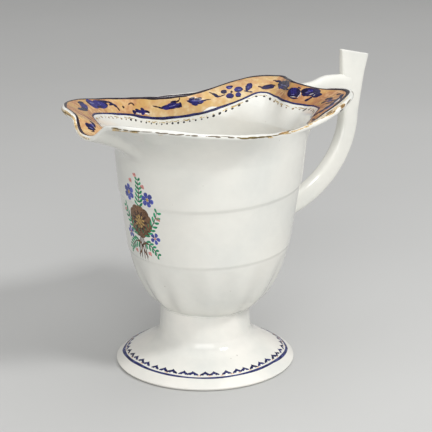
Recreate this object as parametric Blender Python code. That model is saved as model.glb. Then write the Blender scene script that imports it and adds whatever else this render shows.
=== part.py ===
# Helmet-shaped porcelain cream jug: a stepped, fluted bowl with a flared pouring brim,
# a domed pedestal foot, a strap handle with an upright thumb end, and a short arm that
# ties the handle to the back of the brim. The pieces are luted together with clay slip
# and fired; the slip layers are solids of their own.
# The beak points to -X, the handle to +X, and the foot rests on z = 0.

import math

import bpy
import bmesh

MM = 0.001

# Fits between the luted pieces, in millimetres like every size below.
CLEARANCE = 0.3
SLIP = 0.8

# Pedestal foot.
FOOT_RADIUS = 42.2
FOOT_EDGE_HEIGHT = 2.2
FOOT_REST_RADIUS = 41.0
FOOT_RING_WIDTH = 3.8
FOOT_WALL = 4.2
DOME_SHOULDER_RADIUS = 26.5
DOME_SHOULDER_HEIGHT = 10.6
DOME_CROWN_RADIUS = 36.5
DOME_CROWN_HEIGHT = 5.9
STEM_RADIUS = 21.7
STEM_WAIST = 0.5
STEM_FILLET_HEIGHT = 15.4
STEM_TOP = 25.8
STEM_FLOOR = 5.6

# Bowl wall, from the stem up to the neck below the brim.
BOWL_BASE_RADIUS = 20.8
BELLY_RADIUS = 32.6
BELLY_HEIGHT = 33.2
LOWER_STEP_RADIUS = 37.4
LOWER_STEP_HEIGHT = 56.2
UPPER_STEP_RADIUS = 41.7
UPPER_STEP_HEIGHT = 84.6
STEP_LEDGE = 0.8
STEP_RISE = 1.3
NECK_RADIUS = 44.0
NECK_HEIGHT = 103.5
BOWL_WALL = 2.8
BOWL_FLOOR = 4.4
FLUTES = 14
FLUTE_DEPTH = 0.9
# The bowl stands back on its stem, and leans back a little more up to the neck.
BOWL_SETBACK = 1.8
BOWL_LEAN = 2.3

# Brim edge seen from above, from the beak round to the handle, one side:
# (degrees from the beak, overhang beyond the neck, rise above the neck, early flare,
# height of the bend as a share of the rise). Towards the handle the wall stands up
# straight and the brim turns out flat at its top.
BRIM_STATIONS = (
    (0.0, 21.5, 14.6, 0.14, 0.48),
    (5.0, 21.2, 15.7, 0.14, 0.48),
    (10.0, 20.3, 20.3, 0.14, 0.48),
    (14.5, 20.6, 21.4, 0.14, 0.48),
    (21.0, 20.6, 22.0, 0.14, 0.48),
    (45.0, 14.2, 19.5, 0.14, 0.48),
    (73.0, 7.0, 15.4, 0.14, 0.48),
    (100.0, 2.5, 12.9, 0.14, 0.55),
    (126.0, 5.9, 11.2, 0.05, 0.8),
    (144.0, 20.0, 15.7, 0.05, 0.88),
    (161.5, 31.0, 17.9, 0.06, 0.85),
    (170.0, 22.6, 17.1, 0.2, 0.6),
    (180.0, 14.6, 19.3, 0.3, 0.48),
)
BRIM_EDGE = 2.2

# Strap handle: a quarter-oval loop, then an upright with a flat thumb end. It leaves the
# bowl above the lower step, and its bend and its end stand above the neck.
HANDLE_LOW_RISE = 6.6
HANDLE_BEND_RISE = 0.5
HANDLE_TOP_RISE = 31.0
HANDLE_TOP_SLOPE = 0.26
HANDLE_REACH = 50.5
HANDLE_LEAN = 3.6
STRAP_DEPTH = 10.4
STRAP_TOP_DEPTH = 17.8
STRAP_THICKNESS = 6.8
STRAP_TOP_THICKNESS = 4.4
STRAP_TOP_ROUND = 0.8

# Arm between the brim and the handle, deeper where it meets the upright.
ARM_HEIGHT = 7.6
ARM_ROOT_HEIGHT = 11.0
ARM_WIDTH = 5.6
ARM_ABOVE_BRIM = 1.1

# Facets.
FOOT_SIDES = 56
STRAP_SIDES = 16
FINE_STEP = 2.5
COARSE_STEP = 4.1

PORCELAIN = (0.79, 0.785, 0.735, 1.0)
SLIP_WHITE = (0.74, 0.73, 0.67, 1.0)

BOWL_BASE = STEM_TOP + SLIP + 2 * CLEARANCE
JOINT = SLIP + 2 * CLEARANCE
POST_X = NECK_RADIUS + HANDLE_REACH
HANDLE_LOW_HEIGHT = LOWER_STEP_HEIGHT + HANDLE_LOW_RISE
HANDLE_BEND_HEIGHT = NECK_HEIGHT + HANDLE_BEND_RISE
HANDLE_TOP = NECK_HEIGHT + HANDLE_TOP_RISE


def bezier(start, control, end, share):
    rest = 1.0 - share
    return tuple(
        rest * rest * a + 2.0 * rest * share * b + share * share * c
        for a, b, c in zip(start, control, end)
    )


def brimEdge(angle):
    # Overhang, rise, flare and bend of the brim at an angle from the beak, alike on both sides.
    turn = abs((math.degrees(angle) + 180.0) % 360.0 - 180.0)
    last = len(BRIM_STATIONS) - 1
    index = 0
    while index < last - 1 and turn > BRIM_STATIONS[index + 1][0]:
        index += 1
    low = BRIM_STATIONS[index]
    high = BRIM_STATIONS[index + 1]
    span = high[0] - low[0]
    share = (turn - low[0]) / span
    values = []
    for axis in (1, 2, 3, 4):
        slopes = []
        for place in (index, index + 1):
            if place in (0, last):
                slopes.append(0.0)
                continue
            before = BRIM_STATIONS[place - 1]
            after = BRIM_STATIONS[place + 1]
            slopes.append((after[axis] - before[axis]) / (after[0] - before[0]) * span)
        rest = 1.0 - share
        values.append(
            low[axis] * (1.0 + 2.0 * share) * rest * rest
            + slopes[0] * share * rest * rest
            + high[axis] * share * share * (3.0 - 2.0 * share)
            - slopes[1] * share * share * rest
        )
    return values


def brimProfile(angle, share, grow=0.0):
    # Radius and height on the outside of the flare, and its slope there.
    overhang, rise, flare, bend = brimEdge(angle)
    radius = NECK_RADIUS + grow
    start = (radius, NECK_HEIGHT)
    control = (radius + flare * overhang, NECK_HEIGHT + bend * rise)
    end = (radius + overhang, NECK_HEIGHT + rise)
    point = bezier(start, control, end, share)
    run = [
        (1.0 - share) * (b - a) + share * (c - b)
        for a, b, c in zip(start, control, end)
    ]
    run[0] += (BOWL_SETBACK + BOWL_LEAN) * share * math.cos(angle)
    length = math.hypot(run[0], run[1])
    return point, (run[0] / length, run[1] / length)


def brimShift(share):
    # The brim edge stands over the foot again, however the bowl leans.
    return (BOWL_SETBACK + BOWL_LEAN) * (1.0 - share * share)


def bowlShift(height):
    # How far the bowl's centre stands behind the foot's at a height up to the neck.
    return BOWL_SETBACK + BOWL_LEAN * (height - BOWL_BASE) / (NECK_HEIGHT - BOWL_BASE)


def bellyProfile(share):
    start = (BOWL_BASE_RADIUS, BOWL_BASE)
    control = (BELLY_RADIUS, BELLY_HEIGHT)
    end = (LOWER_STEP_RADIUS, LOWER_STEP_HEIGHT)
    point = bezier(start, control, end, share)
    run = [
        (1.0 - share) * (b - a) + share * (c - b)
        for a, b, c in zip(start, control, end)
    ]
    length = math.hypot(run[0], run[1])
    return point, (run[0] / length, run[1] / length)


def bowlRadius(height):
    # Outer radius of the two stepped bands at a height above the lower step.
    if height < UPPER_STEP_HEIGHT:
        low = (LOWER_STEP_RADIUS + STEP_LEDGE, LOWER_STEP_HEIGHT)
        high = (UPPER_STEP_RADIUS, UPPER_STEP_HEIGHT)
    else:
        low = (UPPER_STEP_RADIUS + STEP_LEDGE, UPPER_STEP_HEIGHT)
        high = (NECK_RADIUS, NECK_HEIGHT)
    share = (height - low[1]) / (high[1] - low[1])
    return low[0] + share * (high[0] - low[0])


def columnAngles():
    # Columns stand closer at the beak and at the brim's back corners.
    half = [0.0]
    while half[-1] < 180.0 - COARSE_STEP:
        turn = half[-1]
        fine = turn < 25.0 or turn > 138.0
        half.append(turn + (FINE_STEP if fine else COARSE_STEP))
    stretch = 180.0 / (half[-1] + FINE_STEP)
    half = [turn * stretch for turn in half]
    other = [360.0 - turn for turn in reversed(half[1:])]
    return [math.radians(turn) for turn in half + [180.0] + other]


ANGLES = columnAngles()


def around(angle, radius, height, shift=0.0):
    x = shift - radius * math.cos(angle)
    return (x * MM, radius * math.sin(angle) * MM, height * MM)


def outerRings(grow=0.0, fluted=True):
    # Outside of the bowl from its base to the brim edge; grow offsets it outwards.
    rings = []
    for row in range(10):
        share = row / 9
        point, slope = bellyProfile(share)
        fade = 4.0 * share * (1.0 - share) * FLUTE_DEPTH if fluted else 0.0
        rings.append([
            around(
                angle,
                point[0] + grow - fade * (0.5 - 0.5 * math.cos(FLUTES * angle)),
                point[1],
                bowlShift(point[1]),
            )
            for angle in ANGLES
        ])
    for low, high in (
        (LOWER_STEP_HEIGHT + STEP_RISE, UPPER_STEP_HEIGHT),
        (UPPER_STEP_HEIGHT + STEP_RISE, NECK_HEIGHT),
    ):
        for share in (0.0, 0.5, 0.999):
            height = low + share * (high - low)
            radius = bowlRadius(height) + grow
            shift = bowlShift(height)
            rings.append([around(angle, radius, height, shift) for angle in ANGLES])
    for row in range(1, 8):
        share = row / 7
        rings.append([
            around(angle, *brimProfile(angle, share, grow)[0], brimShift(share))
            for angle in ANGLES
        ])
    return rings


def lipRing(turn, grow=0.0):
    # One ring of the half-round lip over the brim edge, turned from the outside.
    half = BRIM_EDGE / 2.0
    across = half * (1.0 - math.cos(math.radians(turn)))
    ahead = half * math.sin(math.radians(turn))
    ring = []
    for angle in ANGLES:
        point, slope = brimProfile(angle, 1.0, grow)
        ring.append(around(
            angle,
            point[0] + ahead * slope[0] - across * slope[1],
            point[1] + ahead * slope[1] + across * slope[0],
        ))
    return ring


def innerRings():
    # Inside of the bowl from the brim edge down to the floor, with no steps or flutes.
    rings = []
    for row in range(6, -1, -1):
        share = row / 6
        wall = BOWL_WALL + share * (BRIM_EDGE - BOWL_WALL)
        ring = []
        for angle in ANGLES:
            point, slope = brimProfile(angle, share)
            radius = point[0] - wall * slope[1]
            height = point[1] + wall * slope[0]
            ring.append(around(angle, radius, height, brimShift(share)))
        rings.append(ring)
    for share in (0.55, 0.1):
        height = LOWER_STEP_HEIGHT + share * (NECK_HEIGHT - LOWER_STEP_HEIGHT)
        radius = LOWER_STEP_RADIUS + share * (NECK_RADIUS - LOWER_STEP_RADIUS) - BOWL_WALL
        rings.append([around(angle, radius, height, bowlShift(height)) for angle in ANGLES])
    for share in (0.9, 0.7, 0.5, 0.3):
        point, slope = bellyProfile(share)
        radius = point[0] - BOWL_WALL * slope[1]
        height = point[1] + BOWL_WALL * slope[0]
        rings.append([around(angle, radius, height, bowlShift(height)) for angle in ANGLES])
    radius = BOWL_BASE_RADIUS - BOWL_FLOOR
    height = BOWL_BASE + BOWL_FLOOR
    rings.append([around(angle, radius, height, bowlShift(height)) for angle in ANGLES])
    return rings


def glaze(name, colour, roughness):
    material = bpy.data.materials.new(name)
    material.use_nodes = True
    shader = material.node_tree.nodes["Principled BSDF"]
    shader.inputs["Base Color"].default_value = colour
    shader.inputs["Roughness"].default_value = roughness
    shader.inputs["Metallic"].default_value = 0.0
    return material


def solid(name, rings, parent, material=None):
    # Closed body from a stack of rings, with a flat face over the first and the last.
    mesh = bpy.data.meshes.new(name)
    body = bmesh.new()
    rows = [[body.verts.new(point) for point in ring] for ring in rings]
    for low, high in zip(rows, rows[1:]):
        count = len(low)
        for place in range(count):
            after = (place + 1) % count
            body.faces.new((low[place], low[after], high[after], high[place]))
    body.faces.new(rows[0])
    body.faces.new(rows[-1])
    bmesh.ops.recalc_face_normals(body, faces=body.faces)
    for face in body.faces:
        face.smooth = True
    body.to_mesh(mesh)
    body.free()
    piece = bpy.data.objects.new(name, mesh)
    bpy.context.scene.collection.objects.link(piece)
    piece.parent = parent
    if material:
        mesh.materials.append(material)
    return piece


def envelope(name, grow, parent):
    # The bowl's outside as a solid that carries straight on above the brim,
    # to shape what is luted against it.
    rings = outerRings(grow, fluted=False) + [lipRing(45.0, grow)]
    top = [(x, y, z + HANDLE_TOP * MM) for x, y, z in rings[-1]]
    cutter = solid(name, rings + [top], parent)
    cutter.hide_render = True
    cutter.display_type = "WIRE"
    return cutter


def shape(piece, cutter, operation):
    boolean = piece.modifiers.new(cutter.name, "BOOLEAN")
    boolean.operation = operation
    boolean.solver = "EXACT"
    boolean.object = cutter


def sweep(stations, level=False):
    # Rings of a strap with rounded edges along stations (x, z, depth, thickness) in y = 0;
    # the rings of a level strap stand plumb.
    rings = []
    last = len(stations) - 1
    for index, (x, z, depth, thickness) in enumerate(stations):
        before = stations[max(index - 1, 0)]
        after = stations[min(index + 1, last)]
        run = (after[0] - before[0], 0.0 if level else after[1] - before[1])
        length = math.hypot(run[0], run[1])
        ring = []
        for side in range(STRAP_SIDES):
            turn = 2.0 * math.pi * (side + 0.5) / STRAP_SIDES
            across = math.copysign(abs(math.cos(turn)) ** 0.6, math.cos(turn)) * depth / 2.0
            aside = math.copysign(abs(math.sin(turn)) ** 0.6, math.sin(turn)) * thickness / 2.0
            ring.append((
                (x - across * run[1] / length) * MM,
                aside * MM,
                (z + across * run[0] / length) * MM,
            ))
        rings.append(ring)
    return rings


def strapSection(height):
    # Centre, depth and thickness of the upright at a height above the bend.
    share = (height - HANDLE_BEND_HEIGHT) / (HANDLE_TOP - HANDLE_BEND_HEIGHT)
    centre = POST_X + HANDLE_LEAN * math.sin(0.5 * math.pi * share)
    depth = STRAP_DEPTH + (STRAP_TOP_DEPTH - STRAP_DEPTH) * share ** 2.5
    thickness = STRAP_THICKNESS + (STRAP_TOP_THICKNESS - STRAP_THICKNESS) * share
    return centre, depth, thickness


def strapStations(start, steps):
    # The strap leaves the bowl level, sweeps up through a quarter oval, and stands upright.
    root = bowlRadius(HANDLE_LOW_HEIGHT) + bowlShift(HANDLE_LOW_HEIGHT)
    stations = [(start, HANDLE_LOW_HEIGHT, STRAP_DEPTH, STRAP_THICKNESS)]
    for step in range(steps + 1):
        turn = 0.5 * math.pi * step / steps
        stations.append((
            root + (POST_X - root) * math.sin(turn),
            HANDLE_LOW_HEIGHT + (HANDLE_BEND_HEIGHT - HANDLE_LOW_HEIGHT) * (1.0 - math.cos(turn)),
            STRAP_DEPTH,
            STRAP_THICKNESS,
        ))
    return stations


def buildFoot(root):
    rest = FOOT_REST_RADIUS - FOOT_RING_WIDTH
    profile = [
        (STEM_RADIUS - 0.4, STEM_TOP),
        (STEM_RADIUS, STEM_TOP - 0.5),
        (STEM_RADIUS - STEM_WAIST, (STEM_TOP + STEM_FILLET_HEIGHT) / 2.0),
    ]
    fillet = (
        (STEM_RADIUS, STEM_FILLET_HEIGHT),
        (STEM_RADIUS + 0.8, DOME_SHOULDER_HEIGHT + 1.6),
        (DOME_SHOULDER_RADIUS, DOME_SHOULDER_HEIGHT),
    )
    dome = (
        (DOME_SHOULDER_RADIUS, DOME_SHOULDER_HEIGHT),
        (DOME_CROWN_RADIUS, DOME_CROWN_HEIGHT),
        (FOOT_RADIUS, FOOT_EDGE_HEIGHT),
    )
    profile += [bezier(*fillet, row / 4) for row in range(4)]
    profile += [bezier(*dome, row / 6) for row in range(7)]
    profile += [
        (FOOT_RADIUS, FOOT_EDGE_HEIGHT * 0.6),
        ((FOOT_RADIUS + FOOT_REST_RADIUS) / 2.0, FOOT_EDGE_HEIGHT * 0.2),
        (FOOT_REST_RADIUS, 0.0),
        (rest, 0.0),
    ]
    hollow = (
        (rest - 0.5, FOOT_EDGE_HEIGHT * 0.4),
        (DOME_CROWN_RADIUS - FOOT_WALL, DOME_CROWN_HEIGHT - FOOT_WALL),
        (STEM_RADIUS - FOOT_WALL, DOME_SHOULDER_HEIGHT + FOOT_WALL * 0.5),
    )
    profile += [bezier(*hollow, row / 4) for row in range(5)]
    ceiling = STEM_TOP - STEM_FLOOR
    profile += [(STEM_RADIUS - FOOT_WALL - 1.2, ceiling - 0.6)]
    profile += [(STEM_RADIUS - FOOT_WALL - 4.0, ceiling)]
    turns = [2.0 * math.pi * side / FOOT_SIDES for side in range(FOOT_SIDES)]
    rings = [[around(turn, *point) for turn in turns] for point in profile]
    return solid("pedestal_foot", rings, root, glaze("foot_glaze", PORCELAIN, 0.12))


def buildFootSlip(root):
    low = STEM_TOP + CLEARANCE
    turns = [2.0 * math.pi * side / FOOT_SIDES for side in range(FOOT_SIDES)]
    radius = BOWL_BASE_RADIUS - CLEARANCE
    shift = BOWL_SETBACK / 2.0
    rings = [
        [around(turn, radius, height, shift) for turn in turns] for height in (low, low + SLIP)
    ]
    return solid("foot_slip", rings, root, glaze("foot_slip_clay", SLIP_WHITE, 0.35))


def buildBowl(root):
    lip = [lipRing(turn) for turn in (45.0, 90.0, 135.0)]
    rings = outerRings() + lip + innerRings()
    return solid("bowl", rings, root, glaze("bowl_glaze", PORCELAIN, 0.1))


def buildStrap(root, cutter):
    stations = strapStations(BOWL_BASE_RADIUS, 15)
    edge = HANDLE_TOP - STRAP_TOP_ROUND
    for step in range(1, 7):
        height = HANDLE_BEND_HEIGHT + (edge - HANDLE_BEND_HEIGHT) * step / 6
        centre, depth, thickness = strapSection(height)
        stations.append((centre, height, depth, thickness))
    rings = sweep(stations)
    # The thumb end slopes down and out, and closes over a small round.
    middle = stations[-1][0] * MM
    rings[-1] = [
        (x, y, edge * MM - HANDLE_TOP_SLOPE * (x - middle)) for x, y, z in rings[-1]
    ]
    inset = 1.0 - 2.0 * STRAP_TOP_ROUND / stations[-1][2]
    narrow = 1.0 - 2.0 * STRAP_TOP_ROUND / stations[-1][3]
    rings.append([
        (middle + (x - middle) * inset, y * narrow, z + STRAP_TOP_ROUND * MM)
        for x, y, z in rings[-1]
    ])
    strap = solid("handle_strap", rings, root, glaze("strap_glaze", PORCELAIN, 0.12))
    shape(strap, cutter, "DIFFERENCE")
    return strap


def buildStrapSlip(root, inside, outside):
    stations = strapStations(BOWL_BASE_RADIUS, 15)[:5]
    slip = solid("strap_slip", sweep(stations), root, glaze("strap_slip_clay", SLIP_WHITE, 0.35))
    shape(slip, outside, "INTERSECT")
    shape(slip, inside, "DIFFERENCE")
    return slip


def armTop():
    return NECK_HEIGHT + BRIM_STATIONS[-1][2] + ARM_ABOVE_BRIM


def strapFace():
    # Inner face of the upright over the height of the arm.
    faces = []
    for height in (armTop() - ARM_ROOT_HEIGHT, armTop()):
        centre, depth, thickness = strapSection(height)
        faces.append(centre - depth / 2.0)
    return min(faces)


def armStations(start, end):
    # The arm is level on top and deepens below towards the upright.
    brim = NECK_RADIUS + BRIM_STATIONS[-1][1]
    stations = []
    for step in range(7):
        x = start + (end - start) * step / 6
        share = min(max((x - brim) / (strapFace() - brim), 0.0), 1.0)
        height = ARM_HEIGHT + (ARM_ROOT_HEIGHT - ARM_HEIGHT) * share ** 3
        stations.append((x, armTop() - height / 2.0, height, ARM_WIDTH))
    return stations


def buildArm(root, cutter):
    stations = armStations(NECK_RADIUS, strapFace() - JOINT)
    rings = sweep(stations, level=True)
    arm = solid("handle_arm", rings, root, glaze("arm_glaze", PORCELAIN, 0.12))
    shape(arm, cutter, "DIFFERENCE")
    return arm


def buildArmSlips(root, inside, outside):
    stations = armStations(NECK_RADIUS, NECK_RADIUS + BRIM_STATIONS[-1][1] + JOINT * 2.0)
    rings = sweep(stations, level=True)
    brim = solid("brim_arm_slip", rings, root, glaze("brim_slip_clay", SLIP_WHITE, 0.35))
    shape(brim, outside, "INTERSECT")
    shape(brim, inside, "DIFFERENCE")
    face = strapFace()
    stations = armStations(face - CLEARANCE - SLIP, face - CLEARANCE)
    rings = sweep(stations, level=True)
    solid("strap_arm_slip", rings, root, glaze("arm_slip_clay", SLIP_WHITE, 0.35))


def build():
    for item in list(bpy.data.objects):
        bpy.data.objects.remove(item, do_unlink=True)
    # The jug's own axis stands off centre, so that the box round the whole is centred.
    beak = NECK_RADIUS + BRIM_STATIONS[0][1] + BRIM_EDGE / 2.0
    handle = POST_X + HANDLE_LEAN + STRAP_TOP_DEPTH / 2.0
    root = bpy.data.objects.new("jug", None)
    bpy.context.scene.collection.objects.link(root)
    root.location = ((beak - handle) / 2.0 * MM, 0.0, 0.0)

    inside = envelope("seat_inside", CLEARANCE, root)
    outside = envelope("seat_outside", CLEARANCE + SLIP, root)
    clear = envelope("seat_clear", JOINT, root)

    buildFoot(root)
    buildFootSlip(root)
    buildBowl(root)
    buildStrap(root, clear)
    buildStrapSlip(root, inside, outside)
    buildArm(root, clear)
    buildArmSlips(root, inside, outside)


build()
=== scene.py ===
import math

import bpy
import numpy as np
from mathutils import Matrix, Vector


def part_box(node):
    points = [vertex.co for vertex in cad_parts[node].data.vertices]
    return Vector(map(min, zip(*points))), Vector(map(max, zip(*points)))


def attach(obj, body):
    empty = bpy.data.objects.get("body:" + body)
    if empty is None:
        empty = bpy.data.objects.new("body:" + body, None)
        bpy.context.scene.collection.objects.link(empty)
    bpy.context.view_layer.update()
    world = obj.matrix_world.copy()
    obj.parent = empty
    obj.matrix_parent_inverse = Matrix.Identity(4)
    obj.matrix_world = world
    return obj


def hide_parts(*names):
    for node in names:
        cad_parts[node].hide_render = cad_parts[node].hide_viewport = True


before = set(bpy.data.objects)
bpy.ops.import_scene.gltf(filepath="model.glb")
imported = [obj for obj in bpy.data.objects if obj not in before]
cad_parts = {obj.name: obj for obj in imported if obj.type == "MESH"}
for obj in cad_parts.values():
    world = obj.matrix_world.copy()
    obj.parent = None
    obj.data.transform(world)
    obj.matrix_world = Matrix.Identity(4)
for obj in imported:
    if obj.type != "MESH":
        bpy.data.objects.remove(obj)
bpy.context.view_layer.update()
footLow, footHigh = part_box("pedestal_foot")
jugX = (footLow.x + footHigh.x) / 2  # the foot's axis; every length below is in mm from it
mm = 0.001
hand = np.random.default_rng(11)  # unevenness of hand work, the same on every run
print("frame loaded:", len(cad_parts), "CAD nodes, foot axis at x", round(jugX, 4))


# shaping tools

def pick(piece):
    bpy.ops.object.select_all(action="DESELECT")
    piece.select_set(True)
    bpy.context.view_layer.objects.active = piece


def ringTower(name, columns, rings):
    # a circle pulled up ring by ring, ready to be set out
    bpy.ops.object.select_all(action="DESELECT")
    bpy.ops.mesh.primitive_circle_add(vertices=columns, radius=1.0)
    piece = bpy.context.object
    piece.name = piece.data.name = name
    bpy.ops.object.mode_set(mode="EDIT")
    bpy.ops.mesh.select_all(action="SELECT")
    for ring in range(1, rings):
        bpy.ops.mesh.extrude_region_move(TRANSFORM_OT_translate={"value": (0.0, 0.0, 1.0)})
    bpy.ops.object.mode_set(mode="OBJECT")
    return piece


def vertexArray(piece):
    raw = np.empty(len(piece.data.vertices) * 3)
    piece.data.vertices.foreach_get("co", raw)
    return raw.reshape(-1, 3)


def movePoints(piece, points):
    points = points * mm
    points[:, 0] += jugX
    piece.data.vertices.foreach_set("co", points.ravel())
    piece.data.update()


def setOut(piece, place):
    # each vertex goes where its ring and its turn from the beak say, then the ends are closed
    raw = vertexArray(piece)
    ring = np.rint(raw[:, 2]).astype(int)
    movePoints(piece, place(ring, np.arctan2(raw[:, 1], -raw[:, 0])))
    turnOutward(piece, True)


def turnOutward(piece, fill=False):
    # every face turned outward, after any open ends are filled
    pick(piece)
    bpy.ops.object.mode_set(mode="EDIT")
    bpy.ops.mesh.select_all(action="SELECT")
    if fill:
        bpy.ops.mesh.fill_holes(sides=0)
        bpy.ops.mesh.select_all(action="SELECT")
    bpy.ops.mesh.normals_make_consistent(inside=False)
    bpy.ops.object.mode_set(mode="OBJECT")


def ribbonLoop(name, stations, sides, place):
    # a thin closed band that runs once round the jug
    bpy.ops.object.select_all(action="DESELECT")
    bpy.ops.mesh.primitive_torus_add(
        major_segments=stations, minor_segments=sides, major_radius=1.0, minor_radius=0.25
    )
    piece = bpy.context.object
    piece.name = piece.data.name = name
    raw = vertexArray(piece)
    turn = np.arctan2(raw[:, 1], -raw[:, 0])
    swing = np.arctan2(raw[:, 2], np.hypot(raw[:, 0], raw[:, 1]) - 1.0)
    movePoints(piece, place(turn, swing))
    turnOutward(piece)
    return piece


def bezier(start, control, end, share):
    share = np.asarray(share, float)[..., None]
    rest = 1.0 - share
    return rest ** 2 * np.array(start) + 2 * rest * share * np.array(control) + share ** 2 * np.array(end)


def around(turn, radius, height, shift=0.0):
    turn, radius, height, shift = np.broadcast_arrays(turn, radius, height, shift)
    return np.stack([shift - radius * np.cos(turn), radius * np.sin(turn), height], -1)


def wrapTurn(turn):
    # the same turn, at most half a turn either way
    return np.arctan2(np.sin(turn), np.cos(turn))


def readTable(table, place):
    return np.interp(place, *np.array(table).T)


def carry(piece, name, values):
    # a number at every vertex, for a finish to read
    held = piece.data.attributes.new(name, "FLOAT", "POINT")
    held.data.foreach_set("value", values.astype(np.float32))


def dress(piece, finish, smooth=40):
    pick(piece)
    bpy.ops.object.shade_smooth_by_angle(angle=math.radians(smooth))
    piece.data.materials.clear()
    piece.data.materials.append(finish)
    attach(piece, "root")


# finishes

def addNode(tree, kind, inputs, **settings):
    # a node with its settings, each input given a value or joined to another node
    node = tree.nodes.new("ShaderNode" + kind)
    for key, value in settings.items():
        setattr(node, key, value)
    for key, value in inputs.items():
        if isinstance(value, bpy.types.NodeSocket):
            tree.links.new(value, node.inputs[key])
        else:
            node.inputs[key].default_value = (*value, 1.0) if isinstance(value, tuple) else value
    return node.outputs


def startFinish(name, roughness, gloss=0.5):
    finish = bpy.data.materials.new(name)
    finish.use_nodes = True
    tree = finish.node_tree
    shader = tree.nodes["Principled BSDF"]
    shader.inputs["Roughness"].default_value = roughness
    shader.inputs["Specular IOR Level"].default_value = gloss
    return finish, tree, addNode(tree, "TexCoord", {})["Object"]


def endFinish(finish, colour, gloss, height, strength, distance):
    # joins what was mixed to the shader, with a faint relief
    tree = finish.node_tree
    relief = {"Height": height, "Strength": strength, "Distance": distance}
    normal = addNode(tree, "Bump", relief)["Normal"]
    for key, value in (("Base Color", colour), ("Roughness", gloss), ("Normal", normal)):
        tree.links.new(value, tree.nodes["Principled BSDF"].inputs[key])
    return finish


def cloudNoise(tree, place, scale, detail=3.0):
    return addNode(tree, "TexNoise", {"Vector": place, "Scale": scale, "Detail": detail})["Fac"]


def colourRamp(tree, factor, stops):
    ramp = tree.nodes.new("ShaderNodeValToRGB")
    ends = ramp.color_ramp.elements
    while len(ends) < len(stops):
        ends.new(0.5)
    for element, (place, colour) in zip(ends, stops):
        element.position = place
        element.color = (*colour, 1.0)
    tree.links.new(factor, ramp.inputs["Fac"])
    return ramp.outputs["Color"]


def mixColours(tree, factor, first, second, blend="MIX"):
    inputs = {0: factor, 6: first, 7: second}
    return addNode(tree, "Mix", inputs, data_type="RGBA", blend_type=blend)[2]


def rangeOf(tree, value, low, high, toLow, toHigh):
    inputs = {"Value": value, "From Min": low, "From Max": high, "To Min": toLow, "To Max": toHigh}
    return addNode(tree, "MapRange", inputs)["Result"]


def porcelainGlaze(name, look):
    # clear glaze over a grey-white body: clouded tint, iron specks, faint ripple
    finish, tree, place = startFinish(name, look["roughness"])
    cloud = cloudNoise(tree, place, look["cloud"], 4.0)
    body = colourRamp(tree, cloud, ((0.3, look["shade"]), (0.5, look["body"]), (0.72, look["warm"])))
    tone = rangeOf(tree, cloudNoise(tree, place, 240.0, 2.0), 0.3, 0.7, 0.985, 1.01)
    body = mixColours(tree, 1.0, body, tone, "MULTIPLY")
    spots = addNode(tree, "TexVoronoi", {"Vector": place, "Scale": look["specks"]})
    size = rangeOf(tree, spots["Distance"], 0.05, 0.13, 1.0, 0.0)
    chosen = rangeOf(tree, spots["Color"], 0.84, 0.9, 0.0, 0.5)
    specks = addNode(tree, "Math", {0: size, 1: chosen}, operation="MULTIPLY")[0]
    body = mixColours(tree, specks, body, look["iron"])
    if "poolShade" in look:  # painted shade: the hollows are greyed where shade falls, and where the glaze also runs thick
        poolShading = addNode(tree, "Attribute", {}, attribute_name="poolShade")["Fac"]
        body = mixColours(tree, poolShading, body, look["poolShade"])
    gloss = rangeOf(tree, cloud, 0.3, 0.7, look["roughness"] - 0.03, look["roughness"] + 0.05)
    return endFinish(finish, body, gloss, cloudNoise(tree, place, look["ripple"]), 0.12, 0.0005)


def enamelFinish(name, roughness, spread):
    # brushed enamel: colour carried by the strokes, thinner and thicker along them
    finish, tree, place = startFinish(name, roughness, 0.25)
    paint = addNode(tree, "Attribute", {}, attribute_name="paint")["Color"]
    wash = cloudNoise(tree, place, 1300.0)
    thin = rangeOf(tree, wash, 0.3, 0.7, 1.0 - spread, 1.0 + spread)
    colour = mixColours(tree, 1.0, paint, thin, "MULTIPLY")
    gloss = rangeOf(tree, wash, 0.3, 0.7, roughness - 0.06, roughness + 0.1)
    return endFinish(finish, colour, gloss, wash, 0.15, 0.0002)


# brushwork

bpy.ops.object.select_all(action="DESELECT")
bpy.ops.mesh.primitive_uv_sphere_add(segments=8, ring_count=8, radius=1.0, rotation=(0.0, math.pi / 2, 0.0))
dropPiece = bpy.context.object
bpy.ops.object.transform_apply(location=False, rotation=True, scale=False)
dropPoints = vertexArray(dropPiece)  # one drop of paint, long in x
dropFaces = [tuple(face.vertices) for face in dropPiece.data.polygons]
bpy.data.objects.remove(dropPiece)


def flatStroke(startX, startY, endX, endY, width, bend=0.0, taper=0.0, relief=0.07):
    # one brush stroke on a flat sheet, in mm
    along, across, lift = dropPoints.T
    length = math.hypot(endX - startX, endY - startY) or 1e-6
    runX, runY = (endX - startX) / length, (endY - startY) / length
    x = along * length / 2
    y = across * width / 2 * (1.0 + taper * along) + bend * (1.0 - along ** 2)
    midX, midY = (startX + endX) / 2, (startY + endY) / 2
    return midX + x * runX - y * runY, midY + x * runY + y * runX, lift * relief


def paintPiece(name, strokes, finish):
    # joins laid strokes, each (points in mm, colour, darkening along it), in one piece
    points, faces, colours = [], [], []
    for laid, colour, fade in strokes:
        base = len(points) * len(dropPoints)
        points.append(laid)
        faces += [tuple(base + corner for corner in face) for face in dropFaces]
        strength = 1.0 + fade * dropPoints[:, :1]
        colours.append(np.hstack([np.array(colour) * strength, np.ones((len(dropPoints), 1))]))
    mesh = bpy.data.meshes.new(name)
    allPoints = np.concatenate(points)
    mesh.from_pydata([tuple(point) for point in allPoints], [], faces)
    paint = mesh.attributes.new("paint", "FLOAT_COLOR", "POINT")
    paint.data.foreach_set("color", np.clip(np.concatenate(colours), 0, 1).astype(np.float32).ravel())
    piece = bpy.data.objects.new(name, mesh)
    bpy.context.scene.collection.objects.link(piece)
    movePoints(piece, allPoints)
    turnOutward(piece)
    dress(piece, finish, 60)


# bowl

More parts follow.
